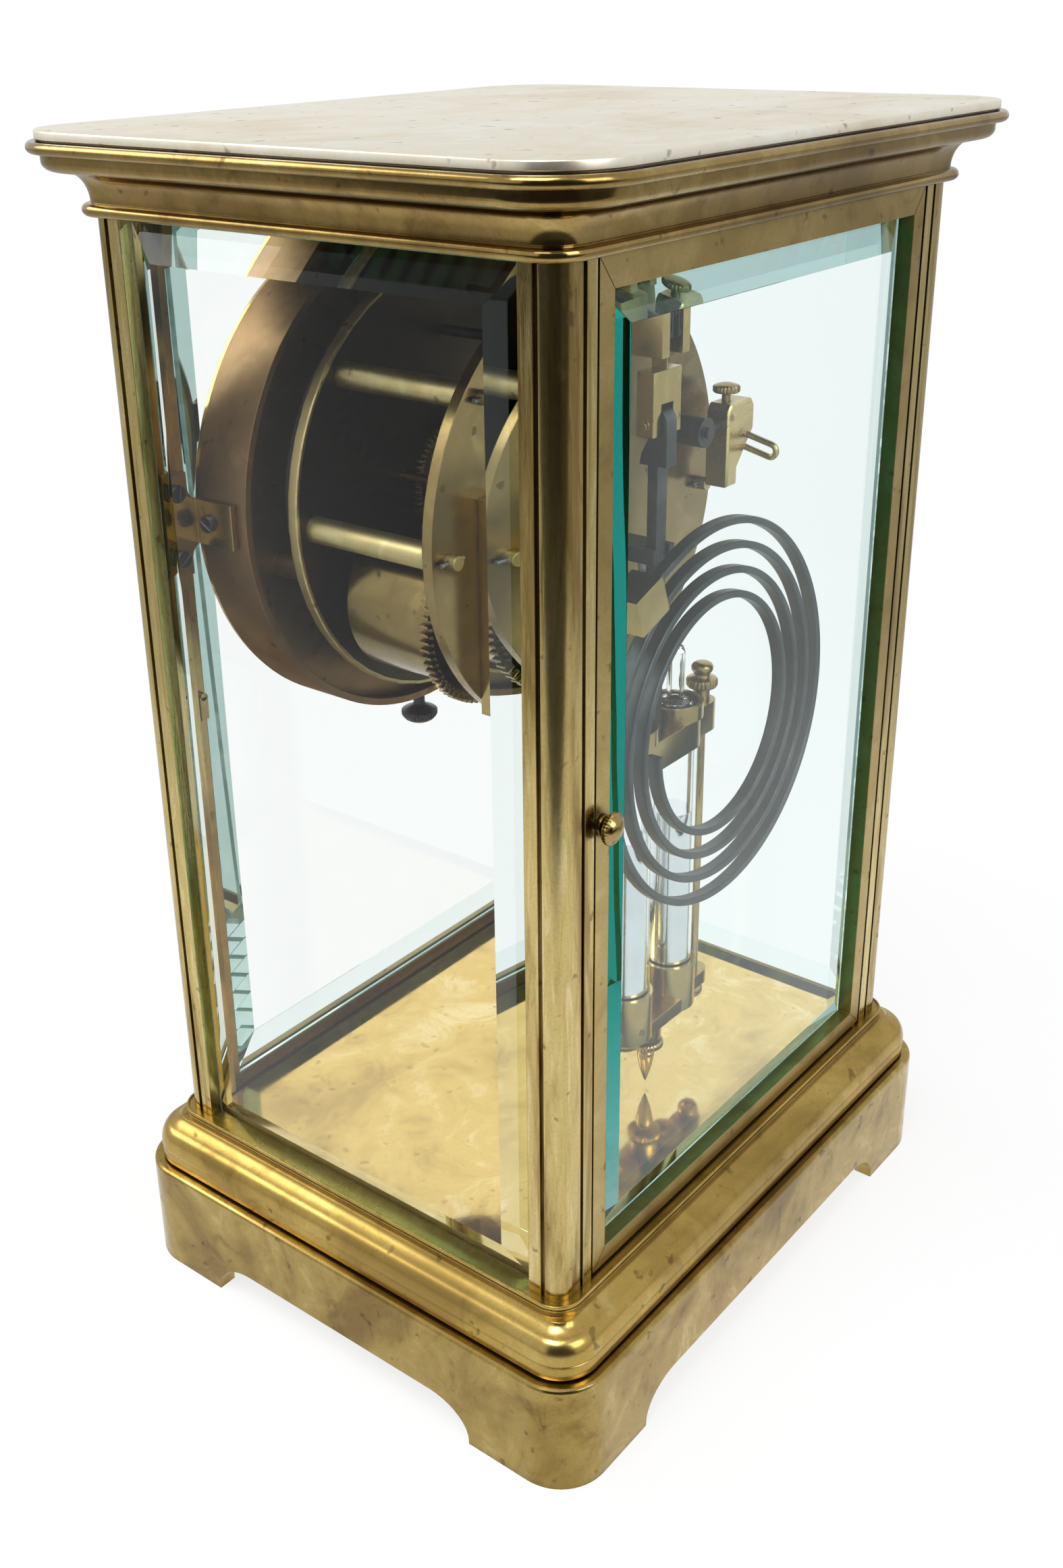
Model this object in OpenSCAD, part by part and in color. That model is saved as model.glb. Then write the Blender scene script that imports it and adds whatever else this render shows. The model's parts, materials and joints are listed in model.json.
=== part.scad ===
// Crystal regulator clock: a brass case with four bevelled glasses, a round two-train
// movement in a drum behind the dial, a spiral gong and a two-jar mercury pendulum.
// The dial faces -Y, the rear door faces +Y, and the origin is on the table under the middle.

/* [Case] */
// Width over the outer faces of the columns
case_w = 139.8; // [136:0.1:160]
// Depth over the outer faces of the columns
case_d = 112.8; // [112.4:0.1:130]
// Height over all
case_h = 265; // [262:0.5:300]
// Plan radius of the base at the column line
corner_r = 1.5; // [1:0.1:3]

/* [Base] */
// Height of the plinth
plinth_h = 27.1; // [24:0.1:32]
// Plinth face beyond the columns
plinth_out = 10.1; // [8:0.1:12]
// Wall of the plinth
plinth_wall = 4.5; // [3:0.1:6]
// Top flange of the plinth
plinth_flange = 3; // [2:0.1:5]
// Length of a bracket foot along each side
foot_w = 27.5; // [20:0.5:32]
// Rise of the arch between the feet
foot_rise = 9; // [6:0.5:14]
// Run of the curve beside a foot
foot_curve = 11; // [6:0.5:14]
// Upright end of a foot under the curve
foot_step = 1; // [1:0.1:4]
// Height of the ledge that carries the columns
base_h = 40.6; // [39:0.1:50]
// Ledge edge beyond the columns
ledge_out = 2.2; // [1.5:0.1:6]
// Plan radius of the ledge at the column line
ledge_r = 4.2; // [2:0.1:5]
// Height of the ledge edge above the swept moulding
ledge_face = 2.4; // [1.5:0.1:4]
// Raised lip on the ledge edge
lip_h = 0.3; // [0.2:0.1:1.3]
// Width of the raised lip
lip_w = 0.6; // [0.4:0.1:1.5]
// Floor plate thickness
floor_t = 3.4; // [2:0.1:5]
// Floor plate let into the ledge
floor_seat = 1; // [0.5:0.1:2]

/* [Columns] */
// Column width along the front and rear
column_w = 10.5; // [9:0.1:13]
// Column depth along the sides
column_d = 8.3; // [7.5:0.1:11]
// Radius of the corner bead
bead_r = 3.8; // [3:0.1:4.5]
// Flat strip beside the door
strip_w = 2.9; // [2.4:0.1:4.5]
// Flat strip beside the side glass
strip_d = 3.1; // [2.5:0.1:4]
// Groove beside each strip
groove_w = 1; // [0.5:0.1:1.5]
// Depth of the groove
groove_d = 0.8; // [0.4:0.1:1.2]
// Column screw radius
column_screw_r = 1.6; // [1:0.1:1.8]

/* [Cornice] */
// Height of the cornice with the top plate
cornice_h = 16; // [14:0.1:20]
// Plan radius of the cornice at the column line
cornice_r = 4.6; // [2:0.1:6]
// Height of the lowest bead
lower_bead_h = 2.4; // [2:0.1:4]
// Lowest bead beyond the columns
lower_bead_out = 3.2; // [2:0.1:4]
// Hollow moulding above the lowest bead
cavetto_h = 5.6; // [5:0.1:9]
// Fascia beyond the columns
fascia_out = 9.8; // [8.5:0.1:11]
// Crown bead beyond the columns
crown_out = 12.3; // [11:0.1:14]
// Top plate thickness
top_plate_t = 2; // [1:0.1:2.5]
// Top plate beyond the columns
top_plate_out = 10.5; // [9:0.1:11]
// Rail over each side glass
side_rail_h = 0.5; // [0.3:0.1:4]

/* [Glass] */
// Plate glass thickness
glass_t = 4; // [3.6:0.1:5]
// Width of the bevel
bevel_w = 7.5; // [4:0.1:9]
// Depth of the bevel
bevel_t = 2.7; // [1:0.1:3]
// Side glass face behind the column face
glass_inset = 0.4; // [0.2:0.1:2]

/* [Doors] */
// Gap between a door and the columns
door_gap = 0.7; // [0.4:0.05:1]
// Gap between the door and the cornice
door_top_gap = 0.4; // [0.3:0.05:1]
// Gap between the door and the ledge lip
door_sill_gap = 0.4; // [0.3:0.05:1]
// Door face behind the column face
door_inset = 0.1; // [0.1:0.1:1]
// Door frame thickness
door_t = 5.2; // [5:0.1:6]
// Width of the stiles
stile_w = 4.3; // [4:0.1:6]
// Width of the top rail
top_rail_w = 5.5; // [4:0.1:9]
// Width of the bottom rail
bottom_rail_w = 4.3; // [2.2:0.1:6]
// Overlap of the frame on the glass
rebate = 0.8; // [0.6:0.05:1]
// Pivot pin radius
pivot_r = 0.8; // [0.6:0.05:0.85]
// Length of a pivot pin beyond the frame
pivot_len = 2.2; // [1.8:0.1:3]
// Pivot axis from the door edge
pivot_in = 1.4; // [1.2:0.05:1.45]
// Knob height above the ledge
knob_rise = 105.5; // [60:0.5:130]
// Knob head radius
knob_r = 3.3; // [2.5:0.1:4.5]
// Knob length
knob_len = 4; // [3.4:0.1:6]
// Catch tongue length
tongue_len = 5.5; // [5:0.1:6]

/* [Drum and dial] */
// Dial centre below the cornice
dial_drop = 62.3; // [60:0.1:70]
// Drum inside the inner faces of the columns
drum_gap = 4.4; // [3.6:0.1:6]
// Drum wall
drum_wall = 1.6; // [1.2:0.1:2.5]
// Rear rim of the drum
drum_rear = -33.4; // [-36:0.1:-31]
// Dial face
dial_face = -47.5; // [-48:0.1:-46.5]
// Dial thickness
dial_t = 1.7; // [1:0.1:2.5]
// Bezel thickness
bezel_t = 2.3; // [1.5:0.1:2.6]
// Width of the bezel
bezel_w = 6; // [5:0.1:9]
// Numeral height
numeral_h = 8; // [6:0.1:10]
// Bracket sheet thickness
bracket_t = 1.5; // [1:0.1:2]
// Bracket plate height on the column
bracket_h = 22; // [18:0.5:30]
// Bracket tab height on the drum
tab_h = 9.6; // [7:0.1:12]

/* [Movement] */
// Radius of the movement plates
plate_r = 48; // [46:0.1:50]
// Plate thickness
plate_t = 2.5; // [2:0.1:3]
// Rear face of the back plate
plate_rear = 10.7; // [10:0.1:12]
// Pillar length between the plates
pillar_len = 33.9; // [33:0.1:36]
// Pillar radius
pillar_r = 2.8; // [2:0.1:3.2]
// Pillars from the movement centre
pillar_circle = 43; // [42:0.1:43.5]
// Barrel radius
barrel_r = 17.5; // [16:0.1:17.8]
// Barrel tooth tip radius
barrel_tip = 20.5; // [19:0.1:20.6]
// Barrels beside the movement centre
barrel_x = 22; // [21.6:0.1:23]
// Barrels below the movement centre
barrel_drop = 19; // [19:0.1:20]
// Running clearance of a pivot
run_gap = 0.05; // [0.02:0.01:0.1]
// Clearance between moving bodies
body_gap = 0.3; // [0.25:0.05:0.5]

/* [Suspension and pendulum] */
// Pendulum plane
pend_y = 27.5; // [26:0.1:28]
// Bending point of the suspension above the movement centre
pivot_rise = 33; // [32:0.1:34]
// Point of the finial above the floor plate
finial_gap = 1.8; // [1.5:0.1:6]
// Point of the finial to the lower bar of the frame
finial_h = 18.8; // [17:0.1:22]
// Step from the lower to the upper bar of the frame
frame_h = 68; // [60:0.5:75]
// Rod width
rod_w = 3.6; // [3:0.1:4.5]
// Rod thickness
rod_t = 2.4; // [2:0.1:3]
// Jar radius
jar_r = 5.3; // [4.5:0.1:6]
// Jar wall
jar_wall = 0.8; // [0.6:0.05:1.2]
// Jars beside the rod
jar_x = 9; // [8:0.1:11]
// Side rods beside the rod
side_rod_x = 20; // [18:0.1:22]
// Side rod radius
side_rod_r = 1.2; // [0.9:0.1:1.6]
// Mercury depth
mercury_h = 48; // [30:1:60]

/* [Gong and hammer] */
// Gong plane
gong_y = 43.7; // [41:0.1:44]
// Gong centre below the movement centre
gong_drop = 42; // [38:0.1:46]
// Gong radius at the top of the outer turn
gong_r = 43; // [40:0.1:45]
// Step between turns
gong_pitch = 5.2; // [4.5:0.1:6]
// Turns of the gong
gong_turns = 3.75; // [3:0.05:4.2]
// Gong strip depth along Y
gong_w = 3; // [2:0.1:4]
// Gong strip thickness
gong_t = 1.6; // [1.2:0.1:2.2]
// Straight end of the gong
gong_lead = 12; // [8:0.5:14]
// Hammer arbor beside the movement centre
hammer_x = -33; // [-34:0.1:-31]
// Hammer arbor above the movement centre
hammer_rise = 9.5; // [8:0.1:11]
// Hammer head height
hammer_h = 19; // [15:0.5:22]

/* [Hidden] */
$fn = 64;

half_w = case_w / 2;
half_d = case_d / 2;
inner_x = half_w - column_w;
inner_y = half_d - column_d;
cut = 1;

cornice_z = case_h - cornice_h;
pocket_z = base_h - floor_seat;
floor_z = pocket_z + floor_t;
floor_gap = 0.4;
lip_z = base_h + lip_h;

glass_in_x = half_w - glass_inset - glass_t;
side_glass_top = cornice_z - side_rail_h;
floor_x = glass_in_x - floor_gap;
floor_y = inner_y - floor_gap;

door_edge = inner_x - door_gap;
door_out_y = half_d - door_inset;
door_in_y = door_out_y - door_t;
door_z0 = lip_z + door_sill_gap;
door_z1 = cornice_z - door_top_gap;
glass_half = door_edge - stile_w;
glass_z0 = door_z0 + bottom_rail_w;
glass_z1 = door_z1 - top_rail_w;
pane_gap = 0.1;
pane_edge_t = glass_t - bevel_t;
pivot_x = -(door_edge - pivot_in);
pivot_y = door_out_y - 0.9;
knob_x = door_edge - 1.9;
knob_z = base_h + knob_rise;
knob_shaft_r = 0.9;
tongue_t = 1.5;
tongue_y1 = door_in_y - body_gap;
tongue_y0 = tongue_y1 - tongue_t;
tongue_half = 1.2;

mz = cornice_z - dial_drop;
front_plate_rear = plate_rear - plate_t - pillar_len;
front_plate_y = front_plate_rear - plate_t;
back_plate_y = plate_rear - plate_t;
dial_rear = dial_face + dial_t;
bezel_front = dial_face - bezel_t;
drum_ring_y = drum_rear - 5.6;
drum_ring_t = 2;
drum_ring_w = 13.4;
drum_r = inner_x - drum_gap;
drum_ring_in = drum_r - drum_wall - drum_ring_w;
bezel_in = drum_r - bezel_w;
track_r = bezel_in - 2.6;
numeral_circle = track_r - 10.4;
tab_y1 = drum_rear - 2.7;
tab_screw_y = drum_rear - 9.6;
bracket_screw_x = inner_x + 2;
bracket_screw_dz = 7;
bracket_screw_r = 0.9;
thumb_y = drum_rear - 3.7;

barrel_y0 = -21;
barrel_y1 = 1.5;
barrel_ring_y1 = 4;
barrel_z = mz - barrel_drop;
arbor_r = 3;
barrel_wall = 1.2;
arbor_pivot_r = 2;

pivot_z = mz + pivot_rise;
pend_len = pivot_z - floor_z - finial_gap;
tip_z = pivot_z - pend_len;
rod_pin_z = pivot_z - 13;
rod_top_z = pivot_z - 22;
frame_low_z = tip_z + finial_h;
frame_low_t = 3.5;
frame_top_z = frame_low_z + frame_h;
frame_top_t = 7;
cup_top_z = frame_low_z + 12;
jar_z0 = frame_low_z + 3;
jar_shoulder_z = frame_top_z + 11;
jar_top_z = jar_shoulder_z + 13;
nut_z = frame_top_z + frame_top_t;

gong_z = mz - gong_drop;
gong_lead_angle = 70;

// Wheel centres beside and above the movement centre
centre_tip = 14;
second_pinion = 3;
second_tip = 13;
centre_pinion = 2.5;
third_tip = 11;
third_pinion = 2.2;
escape_tip = 8.5;
escape_pinion = 2;
pin_tip = 8;
pin_r = 0.4;
tooth_gap = 0.3;
tooth = 1.6;
pin_circle = pin_tip - tooth - 0.8;

// Point where two wheel circles around a and b meet, on the left of the line from a to b
function meet(a, ra, b, rb) =
    let (d = norm(b - a), u = (b - a) / d, s = (ra * ra - rb * rb + d * d) / (2 * d))
    a + s * u + sqrt(ra * ra - s * s) * [-u[1], u[0]];

centre_at = [0, 0];
going_at = [barrel_x, -barrel_drop];
strike_at = [-barrel_x, -barrel_drop];
escape_at = [0, 20.5];
second_at = meet(centre_at, second_tip + centre_pinion + tooth_gap,
    going_at, barrel_tip + second_pinion + tooth_gap);
third_at = meet(centre_at, centre_tip + third_pinion + tooth_gap,
    escape_at, third_tip + escape_pinion + tooth_gap);
pin_at = strike_at + (barrel_tip + second_pinion + tooth_gap) * [cos(95), sin(95)];
fly_tip = 2.4;
fly_at = pin_at + [0, pin_tip + fly_tip + tooth_gap];
pallet_at = [0, pivot_rise];
hammer_at = [hammer_x, hammer_rise];
small_pivot_r = 0.7;
hammer_r = 1.3;
pallet_r = 1.2;
centre_r = 1.4;

brass = "#b8963f";
old_brass = "#8f7440";
copper = "#8a5f3c";
steel = "#5a626b";
dark = "#2f2f31";
glass_tint = [0.55, 0.8, 0.72, 0.35];

// A bar along Y whose section is drawn in X and Z
module along_y(y0, y1) {
    translate([0, y1, 0]) rotate([90, 0, 0]) linear_extrude(y1 - y0) children();
}

// A bar along X whose section is drawn in Y and Z
module along_x(x0, x1) {
    translate([x0, 0, 0]) rotate([90, 0, 90]) linear_extrude(x1 - x0) children();
}

// A round bar along Y
module rod_y(r, y0, y1, x = 0, z = 0) {
    translate([x, y0, z]) rotate([-90, 0, 0]) cylinder(r = r, h = y1 - y0);
}

// A round bar along X
module rod_x(r, x0, x1, y = 0, z = 0) {
    translate([x0, y, z]) rotate([0, 90, 0]) cylinder(r = r, h = x1 - x0);
}

// A box between two corners
module block(a, b) {
    translate(a) cube(b - a);
}

// Reversed copy of a list
function flip(list) = [for (i = [len(list) - 1 : -1 : 0]) list[i]];

// A moulding that follows the case, from points of [distance beyond the columns, height]
module moulded(profile, r = corner_r) {
    cx = half_w - r;
    cy = half_d - r;
    quarter = concat([[0, profile[0][1]]], [for (p = profile) [r + p[0], p[1]]],
        [[0, profile[len(profile) - 1][1]]]);
    for (sx = [0, 1], sy = [0, 1])
        mirror([sx, 0, 0]) mirror([0, sy, 0])
            translate([cx, cy, 0]) rotate_extrude(angle = 90) polygon(quarter);
    along_x(-cx, cx) polygon(concat([for (p = profile) [half_d + p[0], p[1]]],
        [for (p = flip(profile)) [-half_d - p[0], p[1]]]));
    for (sx = [0, 1])
        mirror([sx, 0, 0]) translate([cx, 0, 0]) along_y(-cy, cy) polygon(quarter);
}

// Opening between two feet, half as long as given
function arch(half) =
    let (r = foot_rise - foot_step, c = foot_curve)
    concat([[-half, -cut]], [for (t = [0 : 10 : 90]) [-half + c - c * cos(t), foot_step + r * sin(t)]],
        [for (t = [90 : -10 : 0]) [half - c + c * cos(t), foot_step + r * sin(t)]], [[half, -cut]]);

module base_plinth() {
    edge = 0.8;
    out_x = half_w + plinth_out;
    out_y = half_d + plinth_out;
    color(brass) difference() {
        moulded([[plinth_out, 0], [plinth_out, plinth_h - edge], [plinth_out - 0.3 * edge,
            plinth_h - 0.3 * edge], [plinth_out - edge, plinth_h]]);
        block([-out_x + plinth_wall, -out_y + plinth_wall, -cut],
            [out_x - plinth_wall, out_y - plinth_wall, plinth_h - plinth_flange]);
        block([-half_w + column_w + 4, -inner_y + 6, 0], [half_w - column_w - 4, inner_y - 6,
            plinth_h + cut]);
        along_x(-out_x - cut, out_x + cut) polygon(arch(out_y - foot_w));
        along_y(-out_y - cut, out_y + cut) polygon(arch(out_x - foot_w));
        each_column() cylinder(r = column_screw_r, h = plinth_h + cut);
    }
}

// Places a piece at the middle of each column
module each_column() {
    for (sx = [-1, 1], sy = [-1, 1])
        translate([sx * (half_w - bead_r - 1), sy * (half_d - bead_r - 1), 0]) children();
}

module base_moulding() {
    groove_h = 1.6;
    groove_in = 3.9;
    band_out = plinth_out - 2.3;
    band_z = plinth_h + groove_h;
    ovolo_z = band_z + 2.7;
    ledge_low = base_h - ledge_face;
    sweep_w = band_out + 0.1 - ledge_out;
    sweep_h = ledge_low - ovolo_z;
    line_d = 0.35;
    color(brass) difference() {
        union() {
            moulded(concat(
                [[plinth_out - groove_in, plinth_h], [plinth_out - groove_in, band_z], [band_out,
                    band_z + 0.4], [band_out, ovolo_z - 0.4]],
                [for (t = [0 : 7.5 : 75]) [ledge_out + sweep_w * (0.43 + 0.57 * cos(t)),
                    ovolo_z + 0.75 * sweep_h * sin(t)]],
                [[ledge_out + 0.36 * sweep_w, ovolo_z + 0.8 * sweep_h], [ledge_out + 0.18 * sweep_w,
                    ovolo_z + 0.89 * sweep_h], [ledge_out + 0.07 * sweep_w, ledge_low]]));
            moulded([[ledge_out, ledge_low - cut], [ledge_out, base_h - 0.9], [ledge_out - line_d,
                base_h - 0.9], [ledge_out - line_d, base_h - 0.5], [ledge_out, base_h - 0.5],
                [ledge_out, base_h]], ledge_r);
            difference() {
                moulded([[ledge_out, base_h - line_d], [ledge_out, lip_z - 0.1], [ledge_out - 0.1,
                    lip_z]], ledge_r);
                moulded([[ledge_out - lip_w, base_h - cut], [ledge_out - lip_w, lip_z + cut]], ledge_r);
            }
        }
        block([-floor_x, -floor_y, pocket_z], [floor_x, floor_y, base_h + cut]);
        block([-inner_x + 7, -inner_y + 7, 0], [inner_x - 7, inner_y - 7, base_h]);
        each_column() cylinder(r = column_screw_r, h = base_h + cut);
        for (sy = [-1, 1])
            translate([pivot_x, sy * pivot_y, door_z0 - pivot_len - body_gap])
                cylinder(r = pivot_r + run_gap, h = base_h);
    }
}

// Floor plate between the side glasses and the columns
module floor_plate() {
    color(brass) block([-floor_x, -floor_y, pocket_z], [floor_x, floor_y, floor_z]);
}

// Section of the column at the corner of +X and +Y
module column_section() {
    difference() {
        union() {
            translate([inner_x, inner_y]) square([column_w, column_d - bead_r]);
            translate([inner_x, inner_y]) square([column_w - bead_r, column_d]);
            translate([half_w - bead_r, half_d - bead_r]) circle(r = bead_r);
        }
        translate([inner_x + strip_w, half_d - groove_d]) square([groove_w, groove_d + cut]);
        translate([half_w - groove_d, inner_y + strip_d]) square([groove_d + cut, groove_w]);
    }
}

// The column at the corner of +X and +Y, with a slot for the catch of the door where one meets it
module column(latch, holes) {
    screw_hole = 14;
    difference() {
        translate([0, 0, base_h]) linear_extrude(cornice_z - base_h) column_section();
        for (z = [base_h - cut, cornice_z - screw_hole])
            translate([half_w - bead_r - 1, half_d - bead_r - 1, z])
                cylinder(r = column_screw_r, h = screw_hole + cut);
        if (latch)
            block([inner_x - cut, tongue_y0 - body_gap, knob_z - tongue_len - tongue_half - body_gap],
                [knob_x + tongue_len + body_gap, tongue_y1 + body_gap, knob_z + tongue_half + body_gap]);
        if (holes)
            for (dz = [-1, 1])
                rod_y(bracket_screw_r, inner_y - cut, inner_y + 4, bracket_screw_x,
                    mz + dz * bracket_screw_dz);
    }
}

module column_front_right() { color(brass) mirror([0, 1, 0]) column(true, true); }
module column_front_left() { color(brass) mirror([1, 0, 0]) mirror([0, 1, 0]) column(false, true); }
module column_rear_right() { color(brass) column(true, false); }
module column_rear_left() { color(brass) mirror([1, 0, 0]) column(false, false); }

// Screws that draw the base and the cornice onto the columns
module column_screws() {
    head_r = 3;
    head_h = 2;
    reach = 12;
    low_z = plinth_h - plinth_flange;
    high_z = cornice_z + 6;
    color(steel) each_column() {
        translate([0, 0, low_z - head_h]) cylinder(r = head_r, h = head_h);
        translate([0, 0, low_z]) cylinder(r = column_screw_r, h = base_h + reach - low_z);
        translate([0, 0, high_z]) cylinder(r = head_r, h = head_h);
        translate([0, 0, cornice_z - reach]) cylinder(r = column_screw_r, h = high_z - cornice_z + reach);
    }
}

// Height of the top of the cornice, under the top plate
cornice_top = case_h - top_plate_t;
crown_h = 2.2;

module cornice() {
    bead_half = lower_bead_h / 2;
    cavetto_z = cornice_z + lower_bead_h;
    soffit_z = cavetto_z + cavetto_h;
    cavetto_in = 1.4;
    cavetto_out = 5.2;
    crown_z = cornice_top - crown_h;
    crown_half = crown_h / 2;
    profile = concat(
        [for (t = [-90 : 22.5 : 90]) [lower_bead_out - bead_half + bead_half * cos(t),
            cornice_z + bead_half + bead_half * sin(t)]],
        [for (t = [0 : 10 : 90]) [cavetto_in + (cavetto_out - cavetto_in) * (1 - cos(t)),
            cavetto_z + 0.1 + (cavetto_h - 0.1) * sin(t)]],
        [[fascia_out - 2.5, soffit_z + 0.4], [fascia_out - 0.9, soffit_z + 0.9], [fascia_out - 0.25,
            soffit_z + 1.5], [fascia_out, soffit_z + 2.3], [fascia_out, crown_z], [crown_out - crown_half,
            crown_z]],
        [for (t = [-67.5 : 22.5 : 67.5]) [crown_out - crown_half + crown_half * cos(t),
            crown_z + crown_half + crown_half * sin(t)]],
        [[crown_out - crown_half, cornice_top]]);
    color(old_brass) difference() {
        union() {
            moulded(profile, cornice_r);
            for (sx = [-1, 1])
                translate([sx * (half_w - glass_inset - glass_t / 2), 0, cornice_z - side_rail_h / 2])
                    cube([glass_t, 2 * inner_y, side_rail_h], center = true);
        }
        block([-inner_x + 8, -inner_y + 8, cornice_z - cut], [inner_x - 8, inner_y - 8,
            cornice_top + cut]);
        each_column() translate([0, 0, cornice_z - cut]) cylinder(r = column_screw_r, h = cornice_h);
        each_column() translate([0, 0, cornice_z + 6]) cylinder(r = 3, h = cornice_h);
        for (sy = [-1, 1])
            translate([pivot_x, sy * pivot_y, cornice_z - cut])
                cylinder(r = pivot_r + run_gap, h = cut + pivot_len - door_top_gap + body_gap);
    }
}

module top_plate() {
    recess = 0.35;
    color(old_brass) moulded([[top_plate_out - 0.8, cornice_top], [top_plate_out - 0.8,
        cornice_top + recess],
        [top_plate_out, cornice_top + recess], [top_plate_out, case_h - 0.25], [top_plate_out - 0.25,
            case_h]], cornice_r);
}

// A bevelled pane standing in X and Z, with its flat back at y0 and its bevels toward +Y
module pane(half, z0, z1, y0) {
    edge_y = y0 + pane_edge_t;
    face_y = y0 + glass_t;
    intersection() {
        translate([0, 0, z0]) linear_extrude(z1 - z0) polygon([[-half, y0], [half, y0], [half, edge_y],
            [half - bevel_w, face_y], [-half + bevel_w, face_y], [-half, edge_y]]);
        along_x(-half, half) polygon([[y0, z0], [edge_y, z0], [face_y, z0 + bevel_w], [face_y,
            z1 - bevel_w],
            [edge_y, z1], [y0, z1]]);
    }
}

module side_glass_right() {
    color(glass_tint) rotate([0, 0, -90]) pane(inner_y, base_h, side_glass_top, glass_in_x);
}
module side_glass_left() { mirror([1, 0, 0]) side_glass_right(); }

// Door at the rear, with its pivots at -X
module door_frame() {
    lip_y = door_in_y + 2 * pane_gap + pane_edge_t + bevel_t * rebate / bevel_w;
    pane_half = glass_half + rebate;
    difference() {
        union() {
            block([-door_edge, door_in_y, door_z0], [door_edge, door_out_y, door_z1]);
            translate([pivot_x, pivot_y, door_z0 - pivot_len]) cylinder(r = pivot_r, h = pivot_len);
            translate([pivot_x, pivot_y, door_z1]) cylinder(r = pivot_r, h = pivot_len);
        }
        block([-glass_half, door_in_y - cut, glass_z0], [glass_half, door_out_y + cut, glass_z1]);
        block([-pane_half, door_in_y - cut, glass_z0 - rebate], [pane_half, lip_y, glass_z1 + rebate]);
        rod_y(knob_shaft_r + run_gap, door_in_y - cut, door_out_y + cut, knob_x, knob_z);
    }
}

module door_glass() {
    pane(glass_half + rebate, glass_z0 - rebate, glass_z1 + rebate, door_in_y + pane_gap);
}

// Turning knob with its catch tongue hanging down
module door_knob() {
    face = door_out_y + body_gap;
    neck_r = 1.4;
    flange_r = 2.2;
    collar = knob_len - 2.5;
    translate([knob_x, 0, knob_z]) {
        rod_y(knob_shaft_r, tongue_y0, face + cut);
        translate([0, face, 0]) rotate([-90, 0, 0]) rotate_extrude() polygon([[0, 0], [flange_r, 0],
            [flange_r, 0.6], [neck_r, 0.8], [neck_r, collar - 0.2], [knob_r - 0.4, collar], [knob_r,
                collar + 0.4],
            [knob_r, collar + 0.9], [knob_r - 0.8, collar + 1.3], [knob_r - 1.1, collar + 1.8],
            [knob_r - 1.9, collar + 2.3], [0, knob_len]]);
        along_y(tongue_y0, tongue_y1) union() {
            circle(r = tongue_half + 0.5);
            translate([-tongue_half, -tongue_len]) square([2 * tongue_half, tongue_len]);
        }
    }
}

module rear_door_frame() { color(brass) door_frame(); }
module rear_door_glass() { color(glass_tint) door_glass(); }
module rear_door_knob() { color(brass) door_knob(); }
module front_door_frame() { color(brass) mirror([0, 1, 0]) door_frame(); }
module front_door_glass() { color(glass_tint) mirror([0, 1, 0]) door_glass(); }
module front_door_knob() { color(brass) mirror([0, 1, 0]) door_knob(); }

// Section of a ring in X and Z
module ring(outer, inner) {
    difference() {
        circle(r = outer);
        circle(r = inner);
    }
}

// The band behind the dial, with an inner ring and posts that carry the movement
module dial_drum() {
    post_r = 2.5;
    post_circle = drum_ring_in + 4;
    color(copper) difference() {
        translate([0, 0, mz]) {
            along_y(dial_face, drum_rear) ring(drum_r, drum_r - drum_wall);
            along_y(drum_ring_y, drum_ring_y + drum_ring_t) ring(drum_r - drum_wall, drum_ring_in);
            for (a = [90, 195, 345])
                rod_y(post_r, drum_ring_y + drum_ring_t, front_plate_y, post_circle * cos(a),
                    post_circle * sin(a));
        }
        for (sx = [-1, 1])
            rod_x(bracket_screw_r, sx * drum_r - 3, sx * drum_r + 3, tab_screw_y, mz);
        translate([0, thumb_y, mz - drum_r - 2]) cylinder(r = 1.4, h = 4);
    }
}

module bezel() {
    color(brass) translate([0, dial_face, mz]) rotate([90, 0, 0]) rotate_extrude() polygon([[bezel_in, 0],
        [drum_r - 0.4, 0], [drum_r - 0.4, bezel_t - 1], [drum_r - 1.6, bezel_t], [drum_r - 3, bezel_t],
        [bezel_in, 0.5]]);
}

module dial() {
    color("ivory") translate([0, 0, mz]) along_y(dial_face, dial_rear) difference() {
        circle(r = drum_r - drum_wall);
        circle(r = 3.2);
        for (sx = [-1, 1])
            translate([sx * barrel_x, -barrel_drop]) circle(r = 3.4);
    }
}

roman = ["XII", "I", "II", "III", "IIII", "V", "VI", "VII", "VIII", "IX", "X", "XI"];
stroke = 1;
// Width that one letter of a numeral takes
function letter_w(c) = c == "I" ? 2 : 5;
// Start of letter k in a numeral
function letter_x(s, k) = k == 0 ? 0 : letter_x(s, k - 1) + letter_w(s[k - 1]);

// One letter of a numeral, standing on its baseline
module letter(c) {
    w = letter_w(c);
    lean = w / 2 - stroke / 2;
    if (c == "I") translate([w / 2 - stroke / 2, 0]) square([stroke, numeral_h]);
    if (c == "V" || c == "X")
        for (s = [0, 1])
            translate([s * w, 0]) mirror([s, 0]) polygon(c == "V"
                ? [[0, numeral_h], [stroke, numeral_h], [w / 2 + stroke / 2, 0], [w / 2 - stroke / 2, 0]]
                : [[0, numeral_h], [stroke, numeral_h], [w, 0], [w - stroke, 0]]);
}

module dial_markings() {
    mark_t = 0.2;
    color("black") translate([0, 0, mz]) along_y(dial_face - mark_t, dial_face) {
        ring(track_r, track_r - 0.4);
        for (m = [0 : 59])
            rotate(6 * m) translate([track_r - 2.4, -0.25]) square([2.2, m % 5 == 0 ? 0.9 : 0.5]);
        for (h = [0 : 11]) {
            s = roman[h];
            w = letter_x(s, len(s));
            rotate(-30 * h) translate([-w / 2, numeral_circle - numeral_h / 2])
                for (k = [0 : len(s) - 1]) translate([letter_x(s, k), 0]) letter(s[k]);
        }
    }
}

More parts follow.
